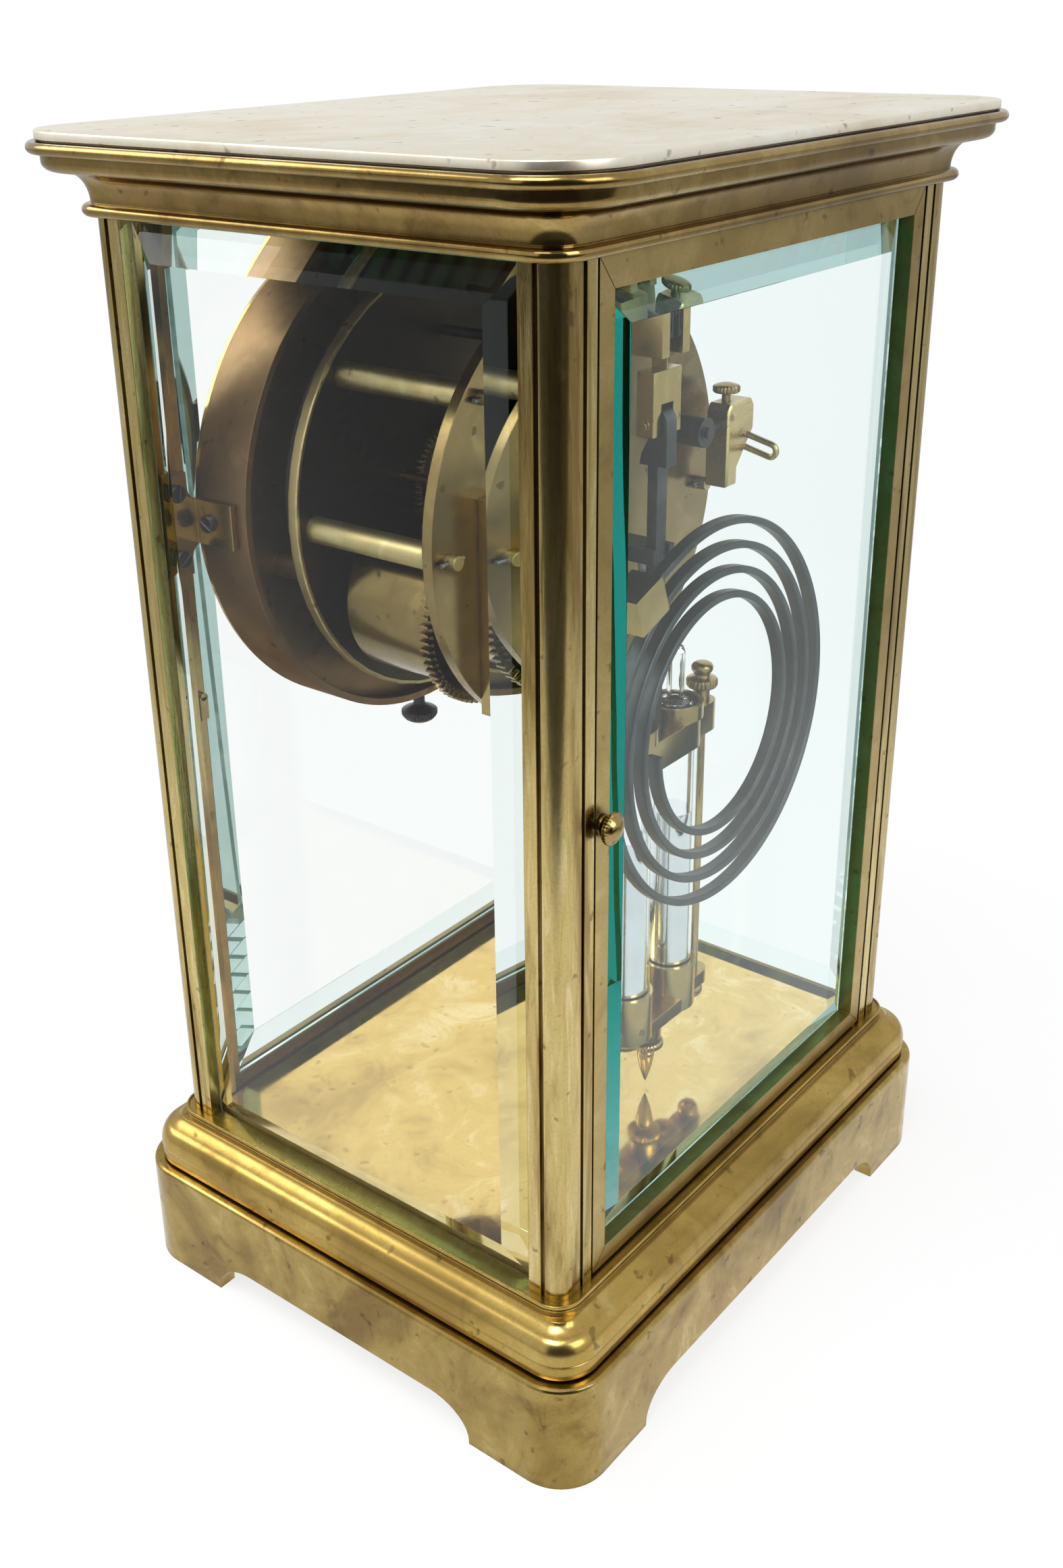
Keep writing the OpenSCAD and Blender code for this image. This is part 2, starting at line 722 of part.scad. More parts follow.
// Sheet bracket from the rear of the front right column to the side of the drum
module bracket() {
    plate_y = -inner_y;
    link_h = tab_h;
    plate_x0 = inner_x - 1;
    fillet = 2.8;
    difference() {
        union() {
            along_y(plate_y, plate_y + bracket_t) {
                translate([plate_x0, mz - bracket_h / 2]) square([6.2, bracket_h]);
                translate([drum_r, mz - link_h / 2]) square([plate_x0 - drum_r + cut, link_h]);
                for (s = [0, 1])
                    translate([plate_x0, mz]) mirror([0, s]) translate([0, link_h / 2]) difference() {
                        translate([-fillet, -0.1]) square([fillet + 0.1, fillet + 0.1]);
                        translate([-fillet, fillet]) circle(r = fillet);
                    }
            }
            block([drum_r, plate_y, mz - tab_h / 2], [drum_r + bracket_t, tab_y1, mz + tab_h / 2]);
        }
        for (dz = [-1, 1])
            rod_y(bracket_screw_r, plate_y - cut, plate_y + bracket_t + cut, bracket_screw_x,
                mz + dz * bracket_screw_dz);
        rod_x(bracket_screw_r, drum_r - cut, drum_r + bracket_t + cut, tab_screw_y, mz);
    }
}

module bracket_right() { color(old_brass) bracket(); }
module bracket_left() { color(old_brass) mirror([1, 0, 0]) bracket(); }

module bracket_screws() {
    head_r = 1.9;
    head_t = 1;
    plate_y = -inner_y + bracket_t;
    tab_x = drum_r + bracket_t;
    color(dark) for (sx = [0, 1]) mirror([sx, 0, 0]) {
        for (dz = [-1, 1]) {
            rod_y(bracket_screw_r, plate_y - 5, plate_y, bracket_screw_x, mz + dz * bracket_screw_dz);
            rod_y(head_r, plate_y, plate_y + head_t, bracket_screw_x, mz + dz * bracket_screw_dz);
        }
        rod_x(bracket_screw_r, drum_r - drum_wall, tab_x, tab_screw_y, mz);
        rod_x(head_r, tab_x, tab_x + head_t, tab_screw_y, mz);
    }
}

module drum_thumb_screw() {
    head_r = 4.4;
    head_z = mz - drum_r - 8.2;
    color(dark) translate([0, thumb_y, head_z]) rotate_extrude() polygon([[0, 0], [head_r - 1.6, 0.5],
        [head_r - 0.3, 1.6], [head_r, 2.6], [head_r - 0.8, 3.6], [1.9, 4.4], [1.4, 5.2], [1.4, 10],
            [0, 10]]);
}

// Outline of a hand that points up, with its eye at the origin
module hand(length, wide, eye, bore) {
    difference() {
        union() {
            circle(r = eye);
            polygon([[-wide / 2, 0], [wide / 2, 0], [wide / 2, 0.62 * length], [0, length],
                [-wide / 2, 0.62 * length]]);
            translate([0, 0.66 * length]) circle(r = wide);
        }
        circle(r = bore);
    }
}

hour_pipe_r = 2.6;
hand_t = 0.5;
hour_hand_y = dial_face - 1;
minute_hand_y = dial_face - 2;
// Tips of the hands inside the numerals and the minute track
hour_hand_gap = 9;
minute_hand_gap = 4.4;

module hour_hand() {
    color(dark) translate([0, 0, mz]) rotate([0, -60, 0])
        along_y(hour_hand_y, hour_hand_y + hand_t) hand(numeral_circle - hour_hand_gap, 2.2, 4, hour_pipe_r);
}

module minute_hand() {
    color(dark) translate([0, 0, mz]) rotate([0, 12, 0])
        along_y(minute_hand_y, minute_hand_y + hand_t) hand(track_r - minute_hand_gap, 1.6, 3.2, centre_r);
}

wheel_t = 1;
hour_tip = 9;
cannon_tip = 3;
minute_pinion = 2.4;
stud_r = 0.9;
stud_rise = hour_tip + minute_pinion + tooth_gap;
minute_tip = stud_rise - cannon_tip - tooth_gap;
hour_wheel_stand = 4;
cannon_stand = 2.2;
hour_wheel_y = front_plate_y - hour_wheel_stand;
cannon_y = front_plate_y - cannon_stand;

pillar_angles = [-2, 42, 138, 187];

// Holes of a movement plate: where each arbor runs, with its radius
module arbor_holes(centre_hole) {
    holes = [[centre_at, centre_hole], [second_at, small_pivot_r], [third_at, small_pivot_r],
        [escape_at, small_pivot_r], [pin_at, small_pivot_r], [fly_at, small_pivot_r],
        [going_at, arbor_pivot_r], [strike_at, arbor_pivot_r], [pallet_at, pallet_r], [hammer_at,
            hammer_r]];
    for (h = holes)
        translate(h[0]) circle(r = h[1] + run_gap);
}

module front_plate() {
    color(old_brass) translate([0, 0, mz]) {
        along_y(front_plate_y, front_plate_rear) difference() {
            circle(r = plate_r);
            arbor_holes(centre_r);
        }
        rod_y(stud_r, hour_wheel_y - 0.4, front_plate_y + cut, 0, stud_rise);
    }
}

pillar_neck_r = 1.5;

module back_plate() {
    color(old_brass) translate([0, 0, mz]) along_y(back_plate_y, plate_rear) difference() {
        circle(r = plate_r);
        arbor_holes(small_pivot_r);
        for (a = pillar_angles)
            translate(pillar_circle * [cos(a), sin(a)]) circle(r = pillar_neck_r);
    }
}

pin_y = plate_rear + 0.9;
pillar_end_y = plate_rear + 2.6;
taper_pin_r = 0.5;

module pillars() {
    color(brass) translate([0, 0, mz]) difference() {
        for (a = pillar_angles) {
            x = pillar_circle * cos(a);
            z = pillar_circle * sin(a);
            rod_y(pillar_r, front_plate_rear, back_plate_y, x, z);
            rod_y(pillar_neck_r, back_plate_y, pillar_end_y, x, z);
        }
        for (a = pillar_angles)
            rod_x(taper_pin_r, -5 + pillar_circle * cos(a), 5 + pillar_circle * cos(a), pin_y,
                pillar_circle * sin(a));
    }
}

module taper_pins() {
    color(steel) translate([0, 0, mz]) for (a = pillar_angles)
        rod_x(taper_pin_r, pillar_circle * cos(a) - 3.4, pillar_circle * cos(a) + 3.4, pin_y,
            pillar_circle * sin(a));
}

// Outline of a toothed wheel
module toothed(tip, teeth) {
    step = 360 / teeth;
    depth = min(tooth, 0.35 * tip);
    polygon([for (i = [0 : teeth - 1], c = [[-0.28, -depth], [-0.14, 0], [0.14, 0], [0.28, -depth]])
        (tip + c[1]) * [cos((i + c[0]) * step), sin((i + c[0]) * step)]]);
}

// Outline of a crossed-out wheel with a hub
module crossed_wheel(tip, teeth, hub) {
    rim = tip - tooth - 1.4;
    arm = 1.4;
    difference() {
        toothed(tip, teeth);
        difference() {
            circle(r = rim);
            circle(r = hub);
            for (a = [0 : 90 : 270])
                rotate(a) translate([0, -arm / 2]) square([rim + cut, arm]);
        }
    }
}

// Spring barrel with its toothed ring, around its arbor
module barrel() {
    wall = barrel_wall;
    bore = arbor_r + run_gap;
    {
        along_y(barrel_y0, barrel_y0 + wall) ring(barrel_r, bore);
        along_y(barrel_y0 + wall, barrel_y1) ring(barrel_r, barrel_r - wall);
        along_y(barrel_y1, barrel_ring_y1) difference() {
            toothed(barrel_tip, 72);
            circle(r = bore);
        }
    }
}

module going_barrel() { color(brass) translate([barrel_x, 0, barrel_z]) barrel(); }
module strike_barrel() { color(brass) translate([-barrel_x, 0, barrel_z]) barrel(); }

// Coiled mainspring strip inside a barrel
module mainspring() {
    turns = 6;
    per_turn = 24;
    strip = 0.5;
    inner = arbor_r + 1;
    outer = barrel_r - barrel_wall;
    path = [for (i = [0 : turns * per_turn]) [inner + (outer - strip - inner)
        * i / (turns * per_turn), 360 * i / per_turn]];
    along_y(barrel_y0 + 2, barrel_y1 - 0.8) polygon(concat([for (p = path) p[0] * [cos(p[1]), sin(p[1])]],
        [for (p = flip(path)) (p[0] + strip) * [cos(p[1]), sin(p[1])]]));
}

module going_mainspring() { color(steel) translate([barrel_x, 0, barrel_z]) mainspring(); }
module strike_mainspring() { color(steel) translate([-barrel_x, 0, barrel_z]) mainspring(); }

// Winding arbor with its ratchet wheel and its square at the dial
module winding_arbor() {
    square_w = 2.6;
    ratchet_t = 1.4;
    ratchet_tip = 8;
    rod_y(arbor_pivot_r, front_plate_y - body_gap, plate_rear);
    rod_y(arbor_r, front_plate_rear + body_gap, back_plate_y - body_gap);
    along_y(front_plate_y - body_gap - ratchet_t, front_plate_y - body_gap) toothed(ratchet_tip, 32);
    along_y(dial_face + 0.4, front_plate_y - body_gap) square(square_w, center = true);
}

module going_arbor() { color(steel) translate([barrel_x, 0, barrel_z]) winding_arbor(); }
module strike_arbor() { color(steel) translate([-barrel_x, 0, barrel_z]) winding_arbor(); }

// Arbor between the plates with its pivots
module train_arbor(r) {
    rod_y(r, front_plate_rear + body_gap, back_plate_y - body_gap);
    rod_y(small_pivot_r, front_plate_y, plate_rear);
}

rear_wheel_y = barrel_ring_y1 + 1;
pinion_reach = 0.1;
front_wheel_y = front_plate_rear + 1.8;
third_wheel_y = -5;
escape_wheel_y = -1;

module second_wheel() {
    color(brass) translate([second_at[0], 0, mz + second_at[1]]) {
        train_arbor(1.1);
        along_y(barrel_y1, barrel_ring_y1) toothed(second_pinion, 10);
        along_y(rear_wheel_y, rear_wheel_y + wheel_t) crossed_wheel(second_tip, 60, 2.6);
    }
}

// Centre wheel, whose arbor carries the minute hand
module centre_wheel() {
    nut_r = 2;
    color(brass) translate([0, 0, mz]) {
        rod_y(centre_r, minute_hand_y, back_plate_y - body_gap);
        rod_y(small_pivot_r, back_plate_y - cut, plate_rear);
        rod_y(nut_r, minute_hand_y - 0.6, minute_hand_y);
        along_y(front_wheel_y, front_wheel_y + wheel_t) crossed_wheel(centre_tip, 64, 3);
        along_y(cannon_y, cannon_y + wheel_t) toothed(cannon_tip, 10);
        along_y(rear_wheel_y, rear_wheel_y + wheel_t) toothed(centre_pinion, 8);
    }
}

module third_wheel() {
    color(brass) translate([third_at[0], 0, mz + third_at[1]]) {
        train_arbor(0.6 + small_pivot_r / 2);
        along_y(front_wheel_y, front_wheel_y + wheel_t) toothed(third_pinion, 8);
        along_y(third_wheel_y, third_wheel_y + wheel_t) crossed_wheel(third_tip, 54, 2.4);
    }
}

module escape_wheel() {
    color(brass) translate([0, 0, mz + escape_at[1]]) {
        train_arbor(0.6 + small_pivot_r / 2);
        along_y(third_wheel_y, third_wheel_y + wheel_t) toothed(escape_pinion, 8);
        along_y(escape_wheel_y, escape_wheel_y + wheel_t) crossed_wheel(escape_tip, 30, 2.2);
    }
}

crutch_y = plate_rear + 2.3;
crutch_t = 1.6;
crutch_drop = 41;

// Pallets on their arbor, with the crutch behind the back plate and its fork on the rod
module pallets() {
    span = escape_tip + 1;
    drop = pivot_rise - escape_at[1];
    nib_h = 5.6;
    arm_h = 7;
    fork_gap = rod_w / 2 + body_gap;
    fork_x = fork_gap + 1.8;
    color(steel) translate([0, 0, pivot_z]) {
        rod_y(pallet_r, front_plate_y, crutch_y + crutch_t);
        along_y(escape_wheel_y, escape_wheel_y + wheel_t) difference() {
            union() {
                circle(r = 2.6);
                polygon([[-span - 1.2, -drop], [-span, -drop], [-span - 0.2, -drop + nib_h], [0, -0.9],
                    [span + 0.2, -drop + nib_h], [span, -drop], [span + 1.2, -drop], [span + 1.6,
                        -drop + arm_h],
                    [0, 2.4], [-span - 1.6, -drop + arm_h]]);
            }
            circle(r = pallet_r - 0.1);
        }
        along_y(crutch_y, crutch_y + crutch_t) union() {
            circle(r = 2.4);
            translate([-1.3, -crutch_drop]) square([2.6, crutch_drop]);
        }
        block([-fork_x, crutch_y + crutch_t - 0.2, -crutch_drop - 1.6],
            [fork_x, pend_y - rod_t / 2 - body_gap - 0.4, -crutch_drop + 1.6]);
        for (sx = [0, 1])
            mirror([sx, 0, 0]) block([fork_gap, pend_y - rod_t / 2 - 1.6, -crutch_drop - 1.6],
                [fork_x, pend_y + rod_t / 2 + 0.8, -crutch_drop + 1.6]);
    }
}

// Hour wheel on its pipe, which carries the hour hand
module hour_wheel() {
    color(brass) translate([0, 0, mz]) {
        along_y(hour_hand_y, hour_wheel_y + wheel_t) ring(hour_pipe_r, centre_r + run_gap);
        along_y(hour_wheel_y, hour_wheel_y + wheel_t) difference() {
            toothed(hour_tip, 32);
            circle(r = hour_pipe_r - 0.2);
        }
    }
}

// Minute wheel on its stud, from the cannon pinion to the hour wheel
module minute_wheel() {
    color(brass) translate([0, 0, mz + stud_rise]) difference() {
        union() {
            along_y(cannon_y, cannon_y + wheel_t) toothed(minute_tip, 30);
            along_y(hour_wheel_y, cannon_y + wheel_t / 2) toothed(minute_pinion, 8);
        }
        rod_y(stud_r + run_gap, hour_wheel_y - cut, cannon_y + 2 * wheel_t);
    }
}

module pin_wheel() {
    pins = 8;
    color(brass) translate([pin_at[0], 0, mz + pin_at[1]]) {
        train_arbor(1.1);
        along_y(barrel_y1, barrel_ring_y1) toothed(second_pinion, 10);
        along_y(rear_wheel_y, rear_wheel_y + wheel_t) crossed_wheel(pin_tip, 40, 2.4);
        for (a = [0 : 360 / pins : 359])
            rod_y(pin_r, rear_wheel_y + wheel_t, rear_wheel_y + wheel_t + 1, pin_circle * cos(a),
                pin_circle * sin(a));
    }
}

module strike_fly() {
    vane_half = 5;
    vane_t = 0.8;
    color(brass) translate([fly_at[0], 0, mz + fly_at[1]]) {
        train_arbor(1);
        along_y(-18, third_wheel_y - 2) square([2 * vane_half, vane_t], center = true);
        along_y(rear_wheel_y, rear_wheel_y + wheel_t) toothed(fly_tip, 8);
    }
}

bracket_z = pivot_z + 4;
bracket_top = bracket_z + 9.5;
cheek_x0 = 2.4;
cheek_x1 = 4.9;
ear_z = pivot_z + 0.8;
adjuster_y0 = pend_y - 3.6;
adjuster_y1 = pend_y + 3.6;
bridge_t = 2;
screw_r = 1.4;

// Cock on the back plate that carries the pendulum
module suspension_bracket() {
    flange_t = 2.4;
    color(old_brass) difference() {
        union() {
            block([-cheek_x1, plate_rear, bracket_z], [cheek_x1, plate_rear + flange_t, bracket_top]);
            for (sx = [0, 1])
                mirror([sx, 0, 0]) block([cheek_x0, plate_rear + flange_t - 0.1, bracket_z],
                    [cheek_x1, adjuster_y1 + 0.2, bracket_top]);
            for (sx = [0, 1])
                mirror([sx, 0, 0]) block([cheek_x0, adjuster_y0, ear_z],
                    [cheek_x1, adjuster_y1 + 0.2, bracket_z + 0.1]);
            block([-cheek_x1, adjuster_y0 - 3, bracket_top - bridge_t], [cheek_x1, adjuster_y1 + 0.2,
                bracket_top]);
        }
        translate([0, pend_y, bracket_top - bridge_t - cut]) cylinder(r = screw_r,
            h = bridge_t + 2 * cut);
    }
}

// Sliding block that grips the suspension spring, hung from its slotted screw
module rate_adjuster() {
    block_top = bracket_top - bridge_t;
    slot = 0.9;
    head_r = 2.6;
    neck_h = 2.4;
    color(dark) difference() {
        union() {
            block([-cheek_x0, adjuster_y0, bracket_z + 0.4], [cheek_x0, adjuster_y1, block_top]);
            translate([0, pend_y, block_top - 0.1]) cylinder(r = screw_r, h = bridge_t + neck_h + 0.2);
            translate([0, pend_y, bracket_top + neck_h]) cylinder(r = head_r, h = 2.1);
        }
        block([-slot, adjuster_y0 - cut, bracket_z - cut], [slot, adjuster_y1 + cut, bracket_z + 4.6]);
        block([-head_r - cut, pend_y - 0.4, bracket_top + neck_h + 1.2], [head_r + cut, pend_y + 0.4,
            bracket_top + neck_h + 3]);
        for (k = [-1.5 : 1 : 1.5])
            translate([1.1 * k, adjuster_y1, bracket_z + 4.5]) cube([0.4, 1.2, 6], center = true);
    }
}

clip_w = 5;
clip_half = 2;
clip_drop = 2.2;
clip_h = 6.8;
clip_z1 = pivot_z - clip_drop;
clip_z0 = clip_z1 - clip_h;
pend_pin_r = 1;

// Suspension spring with its lower clip and the cross pin for the hook
module suspension_spring() {
    spring_half = 0.15;
    cheek_in = rod_w / 2 + 0.4;
    color(brass) {
        block([-spring_half, pend_y - 1.8, clip_z1 - cut], [spring_half, pend_y + 1.8, bracket_z + 4.2]);
        block([-clip_w, pend_y - clip_half, clip_z0], [clip_w, pend_y + clip_half, clip_z1]);
        for (sx = [0, 1])
            mirror([sx, 0, 0]) block([cheek_in, pend_y - clip_half, rod_pin_z - 2.4], [clip_w,
                pend_y + clip_half, clip_z0 + 0.1]);
        rod_x(pend_pin_r, -clip_w - 1, clip_w + 1, pend_y, rod_pin_z);
    }
}

// Flat rod with the hook that hangs over the cross pin
module pendulum_rod() {
    hook_r = 3.2;
    bell = 3.3;
    slot_h = 2 * pend_pin_r + 0.1;
    color(steel) union() {
        along_x(-rod_w / 2, rod_w / 2) difference() {
            union() {
                translate([pend_y, rod_pin_z]) circle(r = hook_r);
                polygon([[pend_y - 1.6, rod_pin_z], [pend_y + hook_r, rod_pin_z], [pend_y + bell,
                    rod_top_z],
                    [pend_y - bell, rod_top_z], [pend_y - bell + 0.4, rod_top_z + 2.4], [pend_y - 0.4,
                        rod_pin_z - 2]]);
            }
            translate([pend_y, rod_pin_z]) circle(r = pend_pin_r);
            translate([pend_y - hook_r - cut, rod_pin_z - slot_h / 2]) square([hook_r + cut, slot_h]);
        }
        block([-rod_w / 2, pend_y - rod_t / 2, nut_z], [rod_w / 2, pend_y + rod_t / 2, rod_top_z + 0.2]);
    }
}

// Places a piece at each of two places beside the rod
module either_side(x) {
    for (s = [-1, 1])
        translate([s * x, pend_y, 0]) children();
}

// Rounded bar across the frame
module frame_bar(r) {
    lug_r = 3.2;
    for (s = [-1, 1]) {
        translate([s * jar_x, 0]) circle(r = r);
        translate([s * side_rod_x, 0]) circle(r = lug_r);
    }
    square([2 * jar_x, 2 * r], center = true);
    square([2 * side_rod_x, 2 * lug_r], center = true);
}

boss_h = 5.6;
boss_z = frame_low_z - boss_h;

module pendulum_frame() {
    bar_r = jar_r + 0.5;
    cup_r = jar_r + 1.1;
    collar_h = 3.5;
    boss_r = 3.6;
    jar_hole = jar_r + 0.05;
    color(brass) difference() {
        union() {
            translate([0, pend_y, frame_top_z]) linear_extrude(frame_top_t) frame_bar(bar_r);
            translate([0, pend_y, frame_low_z]) linear_extrude(frame_low_t) frame_bar(bar_r);
            either_side(jar_x) translate([0, 0, frame_low_z]) cylinder(r = cup_r,
                h = cup_top_z - frame_low_z);
            either_side(jar_x) translate([0, 0, nut_z]) cylinder(r = cup_r, h = collar_h);
            either_side(jar_x) translate([0, 0, frame_low_z]) sphere(r = jar_r - 0.6);
            either_side(side_rod_x) translate([0, 0, frame_low_z - 2]) cylinder(r = side_rod_r,
                h = nut_z - frame_low_z + 9.5);
            either_side(side_rod_x) translate([0, 0, frame_low_z - 2.4]) sphere(r = 2.6);
            translate([0, pend_y, boss_z]) cylinder(r = boss_r, h = boss_h + 0.4);
        }
        either_side(jar_x) translate([0, 0, jar_z0]) cylinder(r = jar_hole,
            h = nut_z - jar_z0 + collar_h + cut);
    }
}

module pendulum_jars() {
    neck_r = 2;
    bore_r = 0.3;
    inside = jar_r - jar_wall;
    color(glass_tint) either_side(jar_x) rotate_extrude() polygon([[0, jar_z0], [jar_r, jar_z0],
        [jar_r, jar_shoulder_z - 2],
        [jar_r - 1.6, jar_shoulder_z - 0.4], [neck_r, jar_shoulder_z], [neck_r, jar_top_z - 2],
            [neck_r * 0.8, jar_top_z - 0.7],
        [bore_r + 0.3, jar_top_z], [bore_r, jar_top_z], [bore_r, jar_top_z - 0.9], [neck_r - 0.7,
            jar_top_z - 2.2],
        [neck_r - 0.7, jar_shoulder_z - 0.8], [inside - 1.4, jar_shoulder_z - 1.2], [inside,
            jar_shoulder_z - 2.6],
        [inside, jar_z0 + jar_wall], [0, jar_z0 + jar_wall]]);
}

module pendulum_mercury() {
    color("silver") either_side(jar_x) translate([0, 0, jar_z0 + jar_wall])
        cylinder(r = jar_r - jar_wall - run_gap, h = mercury_h);
}

// Thumb nuts on the side rods, each a neck, a head and a cap, and the finial nut under the frame
module pendulum_nuts() {
    bore = side_rod_r;
    neck_r = 1.9;
    neck_h = 2.8;
    head_r = 3.6;
    head_h = 2.8;
    cap_r = 2.5;
    cap_h = 3.4;
    cap_z = neck_h + head_h;
    spike_r = 2.1;
    spike_h = 9;
    disc_r = 4.2;
    color(old_brass) {
        either_side(side_rod_x) translate([0, 0, nut_z]) rotate_extrude() polygon([
            [bore, 0], [neck_r, 0], [neck_r, neck_h], [head_r - 0.2, neck_h + 0.5],
            [head_r, neck_h + 1.6], [head_r - 0.2, cap_z - 0.5], [neck_r - 0.1, cap_z],
            [neck_r - 0.1, cap_z + 0.8], [cap_r, cap_z + 1.5], [cap_r, cap_z + cap_h - 1],
            [bore, cap_z + cap_h]]);
        translate([0, pend_y, tip_z]) rotate_extrude() polygon([
            [0, 0], [0.57 * spike_r, 0.36 * spike_h], [0.86 * spike_r, 0.67 * spike_h],
            [spike_r, 0.91 * spike_h], [spike_r - 0.5, spike_h + 0.2], [spike_r - 0.8, spike_h + 1],
            [disc_r, spike_h + 1.8], [disc_r, spike_h + 3], [0, boss_z - tip_z]]);
    }
}

// Angle and radius along the gong, from the lead to the inner end
gong_steps = 36;
gong_count = round((gong_turns + (90 - gong_lead_angle) / 360) * gong_steps);
function gong_radius(a) = gong_r - gong_pitch * (a - 90) / 360;
function gong_angle(i) = gong_lead_angle + 360 * i / gong_steps;
function gong_point(i) = gong_radius(gong_angle(i)) * [cos(gong_angle(i)), sin(gong_angle(i))];
lead_dir = [sin(gong_lead_angle), -cos(gong_lead_angle)];
gong_end = gong_point(0) + gong_lead * lead_dir;
gong_path = concat([gong_end], [for (i = [0 : gong_count]) gong_point(i)]);
// Direction across the strip at each point, away from the middle
function gong_out(i) = i == 0 ? [cos(gong_lead_angle),
    sin(gong_lead_angle)] : gong_path[i] / norm(gong_path[i]);
gong_section = [for (c = [[1, 0.6], [0.6, 1], [-0.6, 1], [-1, 0.6], [-1, -0.6], [-0.6, -1], [0.6, -1],
    [1, -0.6]])
    [c[0] * gong_t / 2, c[1] * gong_w / 2]];
gong_gap = min([for (i = [1 : len(gong_path) - 1], j = [i + gong_steps / 2 : 1 : len(gong_path) - 1])
    norm(gong_path[i] - gong_path[j])]) - gong_t;
echo(gong_least_gap = gong_gap);

module gong() {
    sides = len(gong_section);
    rings = len(gong_path);
    points = [for (i = [0 : rings - 1], s = gong_section)
        let (q = gong_path[i] + s[0] * gong_out(i)) [q[0], gong_y + s[1], gong_z + q[1]]];
    walls = [for (i = [0 : rings - 2], k = [0 : sides - 1])
        let (a = i * sides + k, b = i * sides + (k + 1) % sides) each [[a, b, b + sides], [a,
            b + sides, a + sides]]];
    ends = [for (k = [1 : sides - 2]) each [[0, k + 1, k],
        [(rings - 1) * sides, (rings - 1) * sides + k, (rings - 1) * sides + k + 1]]];
    color(steel) polyhedron(points, concat(walls, ends), convexity = 8);
}

stand_x0 = 27;
stand_w = 6.9;
stand_t = 6.5;
stand_low = 37.3;
stand_high = 8.8;
stand_y1 = plate_rear + stand_t;

// Bar on the back plate with the post and block that hold the gong
module gong_stand() {
    block_l = 9.4;
    block_half = 3.5;
    post_r = 2.6;
    middle = gong_end + lead_dir * block_l / 2;
    color(brass) {
        block([stand_x0, plate_rear, mz - stand_low], [stand_x0 + stand_w, stand_y1, mz + stand_high]);
        rod_y(post_r, stand_y1 - 0.1, gong_y - block_half + 0.1, middle[0], gong_z + middle[1]);
        translate([gong_end[0], gong_y, gong_z + gong_end[1]]) rotate([0, 90 - gong_lead_angle, 0])
            translate([0, -block_half, -4]) cube([block_l, 2 * block_half, 8]);
    }
}

hammer_depth = 6;
hammer_y = pillar_end_y + hammer_depth / 2 + 0.7;
hammer_head_x = hammer_x - 7;
hammer_head_w = 11;
hammer_z = mz + hammer_rise;
hammer_top = hammer_z + 4.9;
clamp_x = hammer_head_x - 3.4;
wire_r = 0.75;

// Hammer arbor with its hub, its arm and the tail that the pin wheel lifts
module hammer_arbor() {
    hub_r = 3.4;
    arm_r = 1.2;
    to_pins = pin_at - hammer_at;
    tail_angle = atan2(to_pins[1], to_pins[0]);
    tail_len = norm(to_pins) - pin_circle - pin_r - body_gap;
    color(steel) {
        rod_y(hammer_r, front_plate_y, hammer_y + 2.6, hammer_x, hammer_z);
        rod_y(hub_r, plate_rear + body_gap, hammer_y + 1.6, hammer_x, hammer_z);
        rod_x(arm_r, hammer_head_x, hammer_x, hammer_y, hammer_z);
        along_y(rear_wheel_y + wheel_t + body_gap, back_plate_y - body_gap) translate([hammer_x,
            hammer_z])
            rotate(tail_angle) translate([0, -0.9]) square([tail_len, 1.8]);
    }
}

// Tapered hammer head with a steel wire loop out of its rear face
module hammer_head() {
    top = hammer_top;
    nose_w = 4.4;
    nose_h = 4;
    x0 = hammer_head_x - hammer_head_w;
    rear_y = hammer_y + hammer_depth / 2;
    loop_len = 6.5;
    loop_tilt = 13;
    loop_half = 1.5;
    loop_x = hammer_head_x - 8;
    loop_z = hammer_top - 9.5;
    color(old_brass) {
        along_y(hammer_y - hammer_depth / 2, rear_y) polygon([
            [hammer_head_x, top - 1.4], [hammer_head_x - 1.2, top], [x0 + 1, top], [x0, top - 1.6],
                [x0, top - 7],
            [hammer_head_x - nose_w, top - hammer_h + nose_h], [hammer_head_x - nose_w, top - hammer_h],
            [hammer_head_x, top - hammer_h]]);
        translate([loop_x, rear_y, loop_z]) rotate([-loop_tilt, 0, 0]) {
            for (s = [-1, 1])
                rod_y(wire_r, -1.2, loop_len, 0, s * loop_half);
            translate([0, loop_len, 0]) rotate([90, 0, 90]) rotate([0, 0, -90])
                rotate_extrude(angle = 180) translate([loop_half, 0]) circle(r = wire_r);
        }
    }
}

// Clamp screw on top of the hammer head
module hammer_screw() {
    color(old_brass) translate([clamp_x, hammer_y, hammer_top]) rotate_extrude() polygon([[0, 0],
        [1, 0], [1, 1.8],
        [2.9, 2.2], [3.1, 3], [2.9, 3.7], [0, 4.4]]);
}

base_plinth();
base_moulding();
floor_plate();
column_front_right();
column_front_left();
column_rear_right();
column_rear_left();
column_screws();
cornice();
top_plate();
side_glass_right();
side_glass_left();
rear_door_frame();
rear_door_glass();
rear_door_knob();
front_door_frame();
front_door_glass();
front_door_knob();
dial_drum();
bezel();
dial();
dial_markings();
bracket_right();
bracket_left();
bracket_screws();
drum_thumb_screw();
hour_hand();
minute_hand();
front_plate();
back_plate();
pillars();
taper_pins();
going_barrel();
strike_barrel();
going_mainspring();
strike_mainspring();
going_arbor();
strike_arbor();
second_wheel();
centre_wheel();
third_wheel();
escape_wheel();
pallets();
hour_wheel();
minute_wheel();
pin_wheel();
strike_fly();
suspension_bracket();
rate_adjuster();
suspension_spring();
pendulum_rod();
pendulum_frame();
pendulum_jars();
pendulum_mercury();
pendulum_nuts();
gong_stand();
gong();
hammer_arbor();
hammer_head();
hammer_screw();
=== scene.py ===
"""Dresses the crystal regulator clock: brass case, bevelled glasses, movement, gong and pendulum."""

